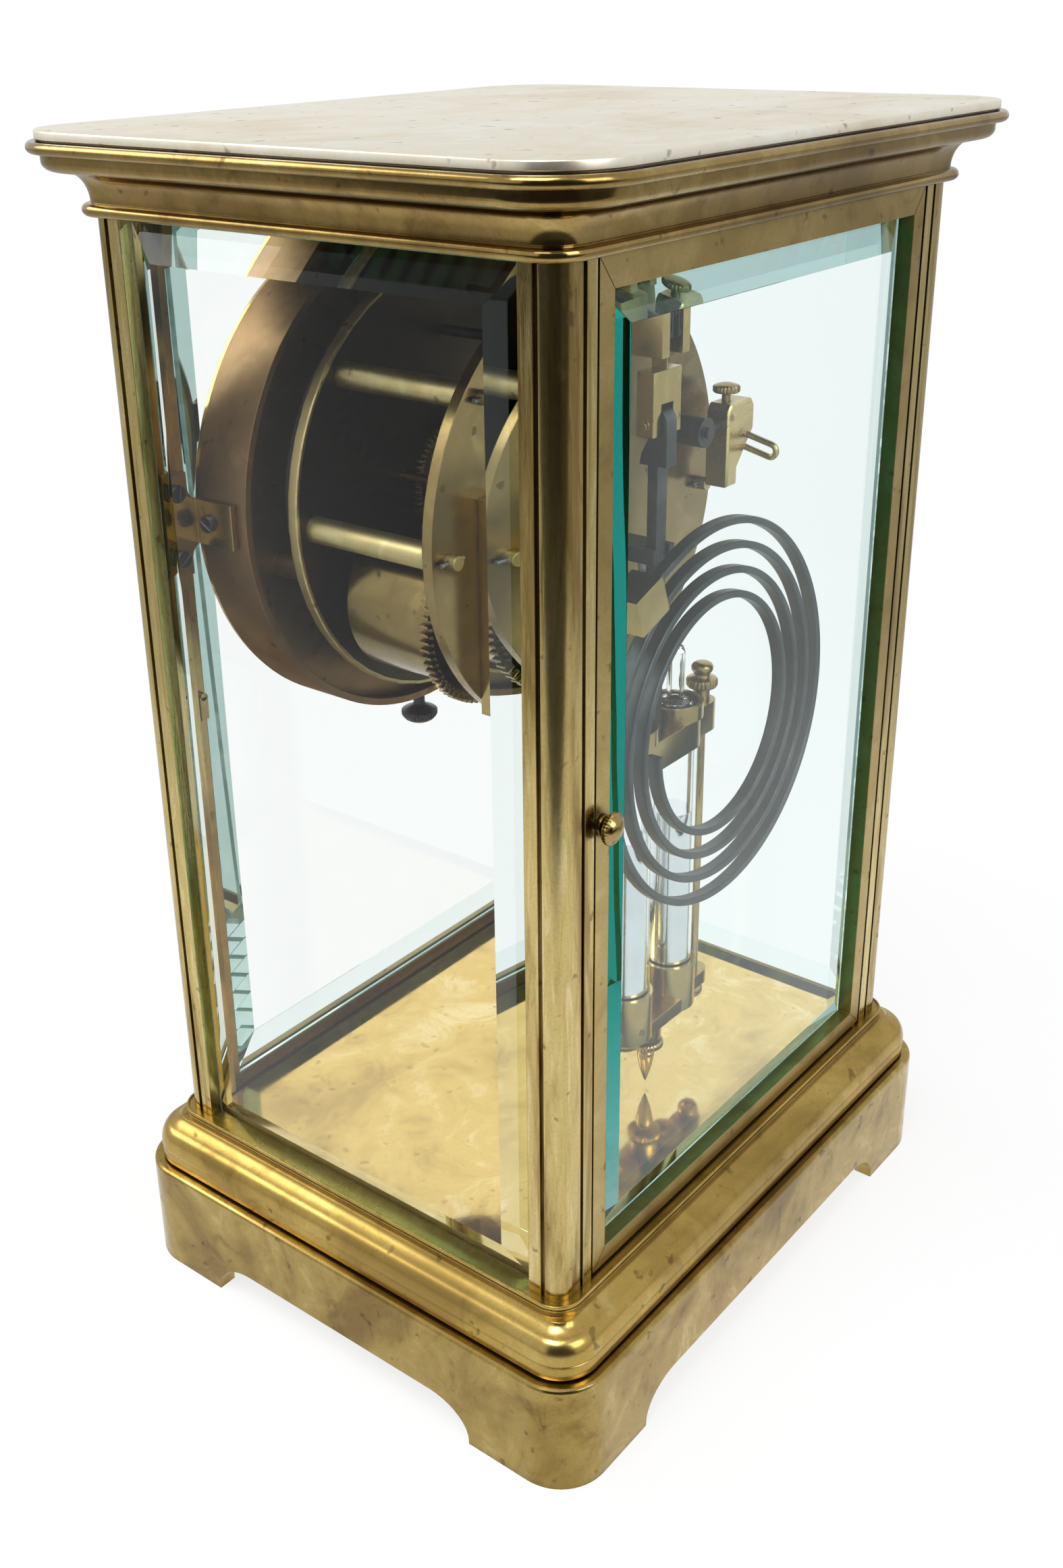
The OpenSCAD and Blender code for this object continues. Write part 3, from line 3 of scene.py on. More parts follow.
import json
import logging
import math
from collections.abc import Mapping, Sequence
from dataclasses import dataclass
from enum import Enum

import bmesh
import bpy
from mathutils import Matrix, Vector


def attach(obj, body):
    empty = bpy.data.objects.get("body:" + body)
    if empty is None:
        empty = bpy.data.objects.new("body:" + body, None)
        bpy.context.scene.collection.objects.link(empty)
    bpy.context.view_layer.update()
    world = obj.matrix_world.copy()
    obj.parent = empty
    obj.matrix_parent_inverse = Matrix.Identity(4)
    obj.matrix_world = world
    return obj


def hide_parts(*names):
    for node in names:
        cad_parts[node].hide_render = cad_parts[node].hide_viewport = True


LOG = logging.getLogger("clock")
MM = 0.001
FULL_TURN = 2 * math.pi
SMOOTH_BELOW = math.radians(34)
QUARTERS = ((1, 1), (-1, 1), (-1, -1), (1, -1))

# In millimetres: radius at which a turned profile meets its axis, lap of joined shapes, distance of joined points
AXIS_R = 0.02
LAP = 0.02
WELD = 1e-4

# Steps round a turned piece, round each of its knurls and round a corner of the case
ROUND_STEPS = 48
RIB_STEPS = 6
CORNER_STEPS = 16

# Rays that the corner and edge nodes of a material send
NODE_SAMPLES = 4

Colour = tuple[float, float, float]
Point = tuple[float, float, float]
Pair = tuple[float, float]
Profile = Sequence[Pair]

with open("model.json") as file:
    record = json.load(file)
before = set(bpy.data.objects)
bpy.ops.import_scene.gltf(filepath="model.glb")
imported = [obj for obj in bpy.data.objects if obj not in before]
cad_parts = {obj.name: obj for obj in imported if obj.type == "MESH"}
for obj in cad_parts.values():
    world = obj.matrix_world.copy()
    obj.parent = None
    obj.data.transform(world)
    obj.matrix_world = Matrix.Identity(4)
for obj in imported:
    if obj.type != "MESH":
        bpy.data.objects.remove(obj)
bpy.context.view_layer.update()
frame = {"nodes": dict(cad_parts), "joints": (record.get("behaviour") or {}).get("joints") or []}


class Grain(Enum):
    """Way that steel was drawn, as stretches of its scratches along X, Y and Z."""

    NONE = (1.0, 1.0, 1.0)
    ALONG_Z = (1.0, 1.0, 0.04)


class Edge(Enum):
    """Axis that a pane with a ground rim is thin along, or none."""

    NONE = ""
    THIN_X = "X"
    THIN_Y = "Y"


class Turn(Enum):
    """Axis that a turned piece is turned about, as the matrix that lays +Z along it."""

    UP = Matrix.Identity(3)
    BACK = Matrix.Rotation(math.radians(-90), 3, "X")
    FRONT = Matrix.Rotation(math.radians(90), 3, "X")
    RIGHT = Matrix.Rotation(math.radians(90), 3, "Y")
    LEFT = Matrix.Rotation(math.radians(-90), 3, "Y")


class Signal:
    """An output socket whose arithmetic adds Math nodes."""

    def __init__(self, paint: "Paint", socket: bpy.types.NodeSocket) -> None:
        """Wraps an output socket of the given tree."""
        self.paint = paint
        self.socket = socket

    def _maths(self, operation: str, *terms: "Signal | float") -> "Signal":
        """Result of one Math node on terms that fill its sockets in order."""
        return self.paint.add("ShaderNodeMath", {"operation": operation}, dict(enumerate(terms)))

    def __add__(self, other: "Signal | float") -> "Signal":
        """Sum with another value."""
        return self._maths("ADD", self, other)

    def __radd__(self, other: float) -> "Signal":
        """Sum with a number on the left."""
        return self._maths("ADD", other, self)

    def __sub__(self, other: "Signal | float") -> "Signal":
        """Difference from another value."""
        return self._maths("SUBTRACT", self, other)

    def __rsub__(self, other: float) -> "Signal":
        """Difference from a number on the left."""
        return self._maths("SUBTRACT", other, self)

    def __mul__(self, other: "Signal | float") -> "Signal":
        """Product with another value."""
        return self._maths("MULTIPLY", self, other)

    def __rmul__(self, other: float) -> "Signal":
        """Product with a number on the left."""
        return self._maths("MULTIPLY", other, self)

    def either(self, other: "Signal | float") -> "Signal":
        """The larger of two values."""
        return self._maths("MAXIMUM", self, other)

    def band(self, low: float, high: float) -> "Signal":
        """Smooth step that is 0 at the low value and 1 at the high one."""
        ends = {"Value": self, "From Min": low, "From Max": high}
        return self.paint.add("ShaderNodeMapRange", {"interpolation_type": "SMOOTHSTEP"}, ends)


class Paint:
    """A node tree under construction."""

    def __init__(self, tree: bpy.types.NodeTree) -> None:
        """Empties a node tree, ready to fill."""
        self.tree = tree
        self.tree.nodes.clear()

    def node(
        self,
        kind: str,
        settings: Mapping[str, object] | None = None,
        sockets: Mapping[int | str, object] | None = None,
    ) -> bpy.types.Node:
        """Adds a node of any type.

        Args:
            kind: Node type.
            settings: Properties of the node, set first.
            sockets: Values or signals by socket name or index.

        Returns:
            The node.
        """
        made = self.tree.nodes.new(kind)
        for name, value in (settings or {}).items():
            setattr(made, name, value)
        for name, value in (sockets or {}).items():
            if isinstance(value, Signal):
                self.tree.links.new(value.socket, made.inputs[name])
            else:
                made.inputs[name].default_value = value
        return made

    def add(
        self,
        kind: str,
        settings: Mapping[str, object] | None = None,
        sockets: Mapping[int | str, object] | None = None,
        output: int | str = 0,
    ) -> Signal:
        """Adds a node as node() does, and gives the output of a name or index."""
        return Signal(self, self.node(kind, settings, sockets).outputs[output])

    def where(self, stretch: Point = (1.0, 1.0, 1.0)) -> Signal:
        """Place on the piece in metres.

        Args:
            stretch: Scale of each axis.

        Returns:
            A vector signal.
        """
        at = self.add("ShaderNodeTexCoord", output="Object")
        if stretch == (1.0, 1.0, 1.0):
            return at
        return self.add("ShaderNodeVectorMath", {"operation": "MULTIPLY"}, {0: at, 1: stretch})

    def noise(self, at: Signal, scale: float, detail: float, rough: float, warp: float = 0.0) -> Signal:
        """Cloudy noise around 0.5, with the scale in features per metre."""
        sockets = {"Vector": at, "Scale": scale, "Detail": detail, "Roughness": rough, "Distortion": warp}
        return self.add("ShaderNodeTexNoise", None, sockets)

    def mix(self, share: Signal | float, first: Signal | Colour, second: Signal | Colour) -> Signal:
        """Blends two colours by the share of the second."""
        first, second = (c if isinstance(c, Signal) else (*c, 1.0) for c in (first, second))
        return self.add("ShaderNodeMix", {"data_type": "RGBA"}, {0: share, 6: first, 7: second}, 2)

    def facing(self, axis: str) -> Signal:
        """Part of the surface's normal along an axis of the piece."""
        normal = self.add("ShaderNodeTexCoord", output="Normal")
        return self.add("ShaderNodeSeparateXYZ", None, {0: normal}, axis)

    def hollow(self, reach: float) -> Signal:
        """How deep in a corner a point lies, up to 1, as seen over a reach in metres."""
        settings = {"samples": NODE_SAMPLES, "only_local": False}
        return 1.0 - self.add("ShaderNodeAmbientOcclusion", settings, {"Distance": reach}, "AO")

    def relief(self, height: Signal, strength: float, depth: float, over: Signal | None = None) -> Signal:
        """Bumps the surface.

        Args:
            height: Height signal.
            strength: Share of the effect.
            depth: Height in metres of a signal of 1.
            over: Normal that the bumps lie on.

        Returns:
            A normal signal.
        """
        sockets: dict[int | str, object] = {"Strength": strength, "Distance": depth, "Height": height}
        if over is not None:
            sockets["Normal"] = over
        return self.add("ShaderNodeBump", None, sockets)

    def eased_edges(self, radius: float) -> Signal:
        """Normal with edges rounded over by a radius in metres."""
        return self.add("ShaderNodeBevel", {"samples": NODE_SAMPLES}, {"Radius": radius})

    def finish(self, surface: Signal, volume: Signal | None = None) -> None:
        """Ends the tree in its output.

        Args:
            surface: Surface shader.
            volume: Volume shader.
        """
        sockets = {"Surface": surface}
        if volume is not None:
            sockets["Volume"] = volume
        self.node("ShaderNodeOutputMaterial", None, sockets)


class Finish:
    """A finish that is made into a material once."""

    made: dict[str, bpy.types.Material] = {}
    name: str

    def paint(self, paint: Paint) -> None:
        """Builds the nodes, in each finish's own way."""
        raise NotImplementedError

    def material(self) -> bpy.types.Material:
        """The finish's material.

        Returns:
            A material, made at the first call.
        """
        if self.name not in Finish.made:
            material = bpy.data.materials.new(self.name)
            material.use_nodes = True
            self.paint(Paint(material.node_tree))
            Finish.made[self.name] = material
        return Finish.made[self.name]


@dataclass(frozen=True)
class Brass(Finish):
    """Aged lacquered brass with clouds of tarnish, specks of grime, polish lines, and painted shade in its corners
    and, where asked, under it.
    """

    name: str
    base: Colour
    dull: Colour
    pale: Colour
    grime_and_shade: Colour = (0.035, 0.02, 0.008)
    dulled: float = 0.6
    paled: float = 0.5
    patches: float = 22.0
    roughness: float = 0.16
    lines: float = 0.03
    lined: float = 0.18
    line_scale: float = 1600.0
    line_depth: float = 0.00004
    grain_scale: float = 700.0
    specks: float = 0.5
    speck_scale: float = 260.0
    corner: float = 0.004
    corner_shade: float = 0.85
    edge: float = 0.00025
    drift: Point = (1.0, 1.0, 1.0)
    wave: float = 0.25
    wave_depth: float = 0.00012
    under: float = 0.0
    sheen: Colour = (1.0, 1.0, 1.0)

    def paint(self, paint: Paint) -> None:
        """Builds the nodes.

        Args:
            paint: Tree to fill.
        """
        at = paint.where()
        drift = paint.where(self.drift)
        clouds = paint.noise(drift, self.patches, 6, 0.6, 0.6)
        wisps = paint.noise(drift, self.patches * 4.2, 5, 0.62, 1.2)
        grains = paint.noise(at, self.grain_scale, 3, 0.6)
        lines = paint.noise(at, self.line_scale, 3, 0.6)
        dull = clouds.band(0.42, 0.68) * self.dulled + wisps.band(0.5, 0.72) * (0.45 * self.dulled)
        pale = wisps.band(0.52, 0.36) * clouds.band(0.56, 0.38) * self.paled
        spots = paint.noise(at, self.speck_scale, 2, 0.5).band(0.66, 0.74) * self.specks
        colour = paint.mix(dull.band(0.0, 1.0), self.base, self.dull)
        colour = paint.mix(pale, colour, self.pale)
        colour = paint.mix(spots, colour, self.grime_and_shade)
        colour = paint.mix(lines.band(0.35, 0.75) * self.lined, colour, self.dull)
        # Painted shade: faces that look down are darkened toward the grime colour.
        if self.under:
            colour = paint.mix(paint.facing("Z").band(-0.5, -0.9) * self.under, colour, self.grime_and_shade)
        # Painted shade: an ambient-occlusion mask darkens corners and hollows toward the grime colour, and roughens
        # them.
        corner = paint.hollow(self.corner).band(0.35, 0.95)
        colour = paint.mix(corner * self.corner_shade, colour, self.grime_and_shade)
        rough = self.roughness + dull * 0.12 + spots * 0.2 + corner * 0.2 + (grains - 0.5) * 0.08
        normal = paint.eased_edges(self.edge)
        normal = paint.relief(lines, self.lines, self.line_depth, normal)
        normal = paint.relief(wisps, self.wave, self.wave_depth, normal)
        sockets = {"Base Color": colour, "Metallic": 1.0, "Roughness": rough, "Normal": normal}
        sockets["Specular Tint"] = (*self.sheen, 1.0)
        paint.finish(paint.add("ShaderNodeBsdfPrincipled", None, sockets))


@dataclass(frozen=True)
class Steel(Finish):
    """Dark steel with a scale of blue-grey clouds, rust specks and draw lines."""

    name: str
    base: Colour
    cloud: Colour
    rust: Colour = (0.1, 0.05, 0.025)
    roughness: float = 0.34
    rusted: float = 0.35
    grain: Grain = Grain.NONE
    edge: float = 0.0002
    cloud_scale: float = 60.0
    speck_scale: float = 420.0
    line_scale: float = 1800.0
    pitted: float = 0.3
    pit_depth: float = 0.00005

    def paint(self, paint: Paint) -> None:
        """Builds the nodes.

        Args:
            paint: Tree to fill.
        """
        at = paint.where()
        clouds = paint.noise(at, self.cloud_scale, 5, 0.6, 0.5)
        specks = paint.noise(at, self.speck_scale, 4, 0.65)
        lines = paint.noise(paint.where(self.grain.value), self.line_scale, 3, 0.6)
        rust = specks.band(0.6, 0.78) * self.rusted
        colour = paint.mix(clouds.band(0.35, 0.68), self.base, self.cloud)
        colour = paint.mix(rust, colour, self.rust)
        rough = self.roughness + clouds * 0.1 + rust * 0.3 + (lines - 0.5) * 0.1
        normal = paint.relief(lines + specks, self.pitted, self.pit_depth, paint.eased_edges(self.edge))
        sockets = {"Base Color": colour, "Metallic": 1.0, "Roughness": rough, "Normal": normal}
        paint.finish(paint.add("ShaderNodeBsdfPrincipled", None, sockets))


@dataclass(frozen=True)
class Glass(Finish):
    """Clear glass that is green along its depth, with faint smears, a slight wave, a painted reflection tinting its
    bevels and a painted glow on its ground rims.
    """

    name: str
    tint: Colour
    depth_colour: Colour
    depth_density: float
    edge: Edge = Edge.NONE
    bevel: Colour = (0.72, 0.84, 0.81)
    ground: Colour = (0.30, 0.42, 0.38)
    ripple: Colour = (0.74, 0.86, 0.82)
    glow: float = 0.0
    ripple_scale: float = 360.0
    ripple_stretch: Point = (0.08, 0.08, 1.0)
    rippled_scale: float = 18.0
    smears: float = 0.015
    smear_scale: float = 34.0
    wave: float = 0.04
    wave_scale: float = 14.0
    wave_depth: float = 0.001
    bends: float = 1.52
    shine: Colour = (0.1, 0.1, 0.1)
    bevel_band: Pair = (0.9985, 0.985)
    rim_band: Pair = (0.04, 0.01)

    def paint(self, paint: Paint) -> None:
        """Builds the nodes.

        Args:
            paint: Tree to fill.
        """
        at = paint.where()
        smear = paint.noise(at, self.smear_scale, 5, 0.65, 1.5).band(0.56, 0.8)
        normal = paint.relief(paint.noise(at, self.wave_scale, 2, 0.4), self.wave, self.wave_depth)
        pane = self.edge is not Edge.NONE
        # Painted reflection: bevel faces take a green tint that stands in for the ground edge seen inside the pane.
        bevel = self.slant(paint, *self.bevel_band) if pane else 0.0
        sockets = {
            "Base Color": paint.mix(bevel, self.tint, self.bevel),
            "Roughness": smear * self.smears,
            "IOR": self.bends,
            "Specular Tint": (*self.shine, 1.0),
            "Transmission Weight": 1.0,
            "Normal": normal,
        }
        clear = paint.add("ShaderNodeBsdfPrincipled", None, sockets)
        if pane:
            rim = self.slant(paint, *self.rim_band)
            clear = paint.add("ShaderNodeMixShader", None, {0: rim, 1: clear, 2: self.frost(paint)})
        lamp = paint.add("ShaderNodeLightPath", None, None, "Is Shadow Ray")
        through = paint.add("ShaderNodeBsdfTransparent", None, {"Color": (*self.tint, 1.0)})
        surface = paint.add("ShaderNodeMixShader", None, {0: lamp, 1: clear, 2: through})
        depth = {"Color": (*self.depth_colour, 1.0), "Density": self.depth_density}
        paint.finish(surface, paint.add("ShaderNodeVolumeAbsorption", None, depth))

    def slant(self, paint: Paint, flat: float, steep: float) -> Signal:
        """Lean of a face off the pane's own, from 0 to 1 between two squared parts of the normal across it."""
        thin = paint.facing(self.edge.value)
        return (thin * thin).band(flat, steep)

    def frost(self, paint: Paint) -> Signal:
        """Grinds the edges, with ripples left by the wheel, and makes upright edges glow as painted light.

        Args:
            paint: Tree to fill.

        Returns:
            A surface shader.
        """
        ripple = paint.noise(paint.where(self.ripple_stretch), self.ripple_scale, 2, 0.5, 0.3).band(0.42, 0.6)
        broad = paint.noise(paint.where(), self.rippled_scale, 3, 0.5).band(0.4, 0.62)
        colour = paint.mix(ripple * broad, self.ground, self.ripple)
        rise = paint.facing("Z")
        # Painted light: the ground rim glows by emission, most on its upright faces.
        lit = paint.mix((1.0 - rise * rise) * self.glow, (0.0, 0.0, 0.0), colour)
        sockets = {"Base Color": colour, "Roughness": 0.55 - ripple * 0.1, "Emission Color": lit}
        return paint.add("ShaderNodeBsdfPrincipled", None, sockets | {"Emission Strength": 1.0})


@dataclass(frozen=True)
class Enamel(Finish):
    """Fired enamel or ink, glossy with faint clouds and pits."""

    name: str
    base: Colour
    cloud: Colour
    roughness: float = 0.16
    cloud_scale: float = 40.0
    pit_scale: float = 900.0
    pitted: float = 0.12
    pit_depth: float = 0.0001

    def paint(self, paint: Paint) -> None:
        """Builds the nodes.

        Args:
            paint: Tree to fill.
        """
        at = paint.where()
        clouds = paint.noise(at, self.cloud_scale, 5, 0.6, 0.4)
        pits = paint.noise(at, self.pit_scale, 2, 0.5)
        colour = paint.mix(clouds.band(0.45, 0.8), self.base, self.cloud)
        normal = paint.relief(pits + clouds, self.pitted, self.pit_depth)
        sockets = {"Base Color": colour, "Roughness": self.roughness + pits.band(0.6, 0.9) * 0.2, "Normal": normal}
        paint.finish(paint.add("ShaderNodeBsdfPrincipled", None, sockets))


CASE_BRASS = Brass(
    "case_brass",
    (0.40, 0.285, 0.084),
    (0.18, 0.11, 0.03),
    (0.60, 0.46, 0.20),
    dulled=0.75,
    paled=0.75,
    patches=26.0,
)
MOULD_BRASS = Brass("mould_brass", (0.47, 0.325, 0.09), (0.23, 0.145, 0.037), (0.64, 0.50, 0.21), roughness=0.24)
COLUMN_BRASS = Brass(
    "column_brass",
    (0.58, 0.46, 0.18),
    (0.26, 0.17, 0.052),
    (0.72, 0.60, 0.32),
    dulled=0.8,
    paled=0.9,
    patches=130.0,
    roughness=0.13,
    drift=(1.0, 1.0, 0.09),
    wave=0.4,
)
FRAME_BRASS = Brass("frame_brass", (0.47, 0.35, 0.13), (0.24, 0.165, 0.055), (0.62, 0.50, 0.24), roughness=0.3)
FLOOR_BRASS = Brass(
    "floor_brass",
    (0.68, 0.49, 0.165),
    (0.42, 0.285, 0.10),
    (0.82, 0.68, 0.38),
    dulled=0.75,
    paled=0.7,
    patches=16.0,
    roughness=0.05,
    specks=0.25,
    wave=0.03,
)
CORNICE_BRASS = Brass("cornice_brass", (0.33, 0.225, 0.075), (0.15, 0.095, 0.03), (0.50, 0.37, 0.15), roughness=0.14)
# Near-white base colour stands in for the bright surround that the top reflects, a painted reflection; its underside
# wears painted shade.
TOP_PAINTED_LIGHT_BRASS = Brass(
    "top_painted_light_brass",
    (0.88, 0.84, 0.70),
    (0.70, 0.60, 0.44),
    (0.95, 0.94, 0.88),
    roughness=0.32,
    paled=0.8,
    under=0.9,
)
DRUM_BRASS = Brass(
    "drum_brass",
    (0.21, 0.135, 0.07),
    (0.11, 0.072, 0.04),
    (0.30, 0.20, 0.11),
    roughness=0.4,
    lines=0.01,
    wave=0.03,
    sheen=(0.35, 0.28, 0.20),
)
BEZEL_BRASS = Brass("bezel_brass", (0.46, 0.33, 0.11), (0.24, 0.155, 0.045), (0.66, 0.52, 0.24), roughness=0.12)
PLATE_BRASS = Brass(
    "plate_brass",
    (0.24, 0.175, 0.07),
    (0.13, 0.09, 0.034),
    (0.38, 0.29, 0.13),
    roughness=0.2,
    lines=0.01,
    wave=0.06,
)
# Near-black brass: painted shade on the front plate, whose brass is darkened where it lies in shade inside the drum;
# also the dark door mitres and pivot bushes.
DARK_AND_SHADED_BRASS = Brass(
    "dark_and_shaded_brass",
    (0.045, 0.034, 0.017),
    (0.022, 0.016, 0.009),
    (0.08, 0.06, 0.03),
    roughness=0.3,
    lines=0.01,
    wave=0.03,
)
BARREL_BRASS = Brass(
    "barrel_brass",
    (0.21, 0.155, 0.06),
    (0.12, 0.083, 0.028),
    (0.32, 0.25, 0.11),
    roughness=0.14,
    lines=0.01,
    wave=0.03,
)
WHEEL_BRASS = Brass("wheel_brass", (0.44, 0.34, 0.14), (0.24, 0.17, 0.06), (0.60, 0.48, 0.23), roughness=0.18)
PILLAR_BRASS = Brass("pillar_brass", (0.46, 0.38, 0.18), (0.30, 0.23, 0.09), (0.62, 0.54, 0.32), roughness=0.38)
TRIM_BRASS = Brass("trim_brass", (0.38, 0.28, 0.105), (0.17, 0.115, 0.037), (0.56, 0.44, 0.20), roughness=0.16)
HAMMER_BRASS = Brass("hammer_brass", (0.56, 0.45, 0.20), (0.30, 0.21, 0.08), (0.68, 0.58, 0.32), roughness=0.24)
GONG_STEEL = Steel("gong_steel", (0.032, 0.038, 0.038), (0.07, 0.08, 0.079))
ROD_STEEL = Steel("rod_steel", (0.06, 0.06, 0.062), (0.12, 0.12, 0.122), grain=Grain.ALONG_Z)
WORK_STEEL = Steel("work_steel", (0.16, 0.16, 0.17), (0.28, 0.28, 0.29))
BLUED_STEEL = Steel("blued_steel", (0.02, 0.02, 0.026), (0.05, 0.048, 0.05), roughness=0.28)
MERCURY = Steel("mercury", (0.72, 0.73, 0.75), (0.66, 0.67, 0.69), roughness=0.03, rusted=0.0)
SIDE_GLASS = Glass(
    "side_glass",
    (0.998, 1.0, 0.999),
    (0.10, 0.78, 0.68),
    6.0,
    Edge.THIN_X,
    bevel=(0.84, 0.93, 0.91),
    glow=0.5,
)
# The rear glass carries the strongest painted reflection on its bevels and a painted glow on its rims.
REAR_GLASS = Glass(
    "rear_glass",
    (0.998, 1.0, 0.999),
    (0.05, 0.82, 0.77),
    20.0,
    Edge.THIN_Y,
    bevel=(0.24, 0.42, 0.41),
    glow=0.9,
)
FRONT_GLASS = Glass("front_glass", (0.998, 1.0, 0.999), (0.10, 0.40, 0.34), 8.0, Edge.THIN_Y)
JAR_GLASS = Glass("jar_glass", (0.99, 0.995, 0.995), (0.6, 0.9, 0.86), 8.0)
DIAL_ENAMEL = Enamel("dial_enamel", (0.80, 0.77, 0.70), (0.70, 0.66, 0.57))
DIAL_INK = Enamel("dial_ink", (0.012, 0.012, 0.014), (0.03, 0.03, 0.032), 0.3)


def inset(outline: Profile, depth: float, bluntest: float = 0.3) -> list[Pair]:
    """Moves the sides of an outline inward.

    Args:
        outline: Corners, counter-clockwise.
        depth: Distance that each side moves.
        bluntest: Least share of a corner's move that its sides get, which holds back sharp corners.

    Returns:
        The moved corners.
    """
    moved = []
    corners_of = [Vector(c) for c in outline]
    for before, here, after in zip(corners_of[-1:] + corners_of[:-1], corners_of, corners_of[1:] + corners_of[:1]):
        first, second = ((b - a).normalized() for a, b in ((before, here), (here, after)))
        sides = [Vector((-side.y, side.x)) for side in (first, second)]
        middle = (sides[0] + sides[1]).normalized()
        moved.append(tuple(here + middle * (depth / max(middle.dot(sides[0]), bluntest))))
    return moved


def anticlockwise(outline: Profile) -> list[Pair]:
    """Corners of an outline in counter-clockwise order."""
    area = sum(a[0] * b[1] - b[0] * a[1] for a, b in zip(outline, [*outline[1:], outline[0]]))
    return list(outline) if area > 0 else list(outline)[::-1]


def bend(start: Sequence[float], pull: Sequence[float], end: Sequence[float], steps: int) -> list[Pair]:
    """Curve of a profile from its start to its end, drawn toward a third point."""
    parts = [(k / steps, 1 - k / steps) for k in range(steps + 1)]
    return [tuple(b * b * p + 2 * a * b * q + a * a * r for p, q, r in zip(start, pull, end)) for a, b in parts]


def arc(middle: Sequence[float], reach: Sequence[float], start: float, end: float, steps: int) -> list[Pair]:
    """Arc of an ellipse in a profile, with its angles in degrees."""
    turns = [math.radians(start + (end - start) * k / steps) for k in range(steps + 1)]
    return [(middle[0] + reach[0] * math.cos(t), middle[1] + reach[1] * math.sin(t)) for t in turns]


def rounded(half: Sequence[float], radius: Sequence[float], steps: int) -> list[Pair]:
    """Rectangle with rounded corners.

    Args:
        half: Half widths along the two axes.
        radius: Radii of the corners along the two axes.
        steps: Steps round each corner.

    Returns:
        Points, counter-clockwise.
    """
    outline = []
    for quarter, (u, v) in enumerate(QUARTERS):
        middle = (u * (half[0] - radius[0]), v * (half[1] - radius[1]))
        outline += arc(middle, radius, 90 * quarter, 90 * quarter + 90, steps)
    return outline


def plan(half_x: float, half_y: float, radius: float, z: float) -> list[Point]:
    """Rounded rectangle in plan at a height, counter-clockwise from above."""
    return [(x, y, z) for x, y in rounded((half_x, half_y), (radius, radius), CORNER_STEPS)]


def stand(name: str, data: bpy.types.ID) -> bpy.types.Object:
    """Adds an object to the scene.

    Args:
        name: Name of the object.
        data: Mesh, lamp or camera that it shows.

    Returns:
        The object.
    """
    made = bpy.data.objects.new(name, data)
    bpy.context.scene.collection.objects.link(made)
    return made


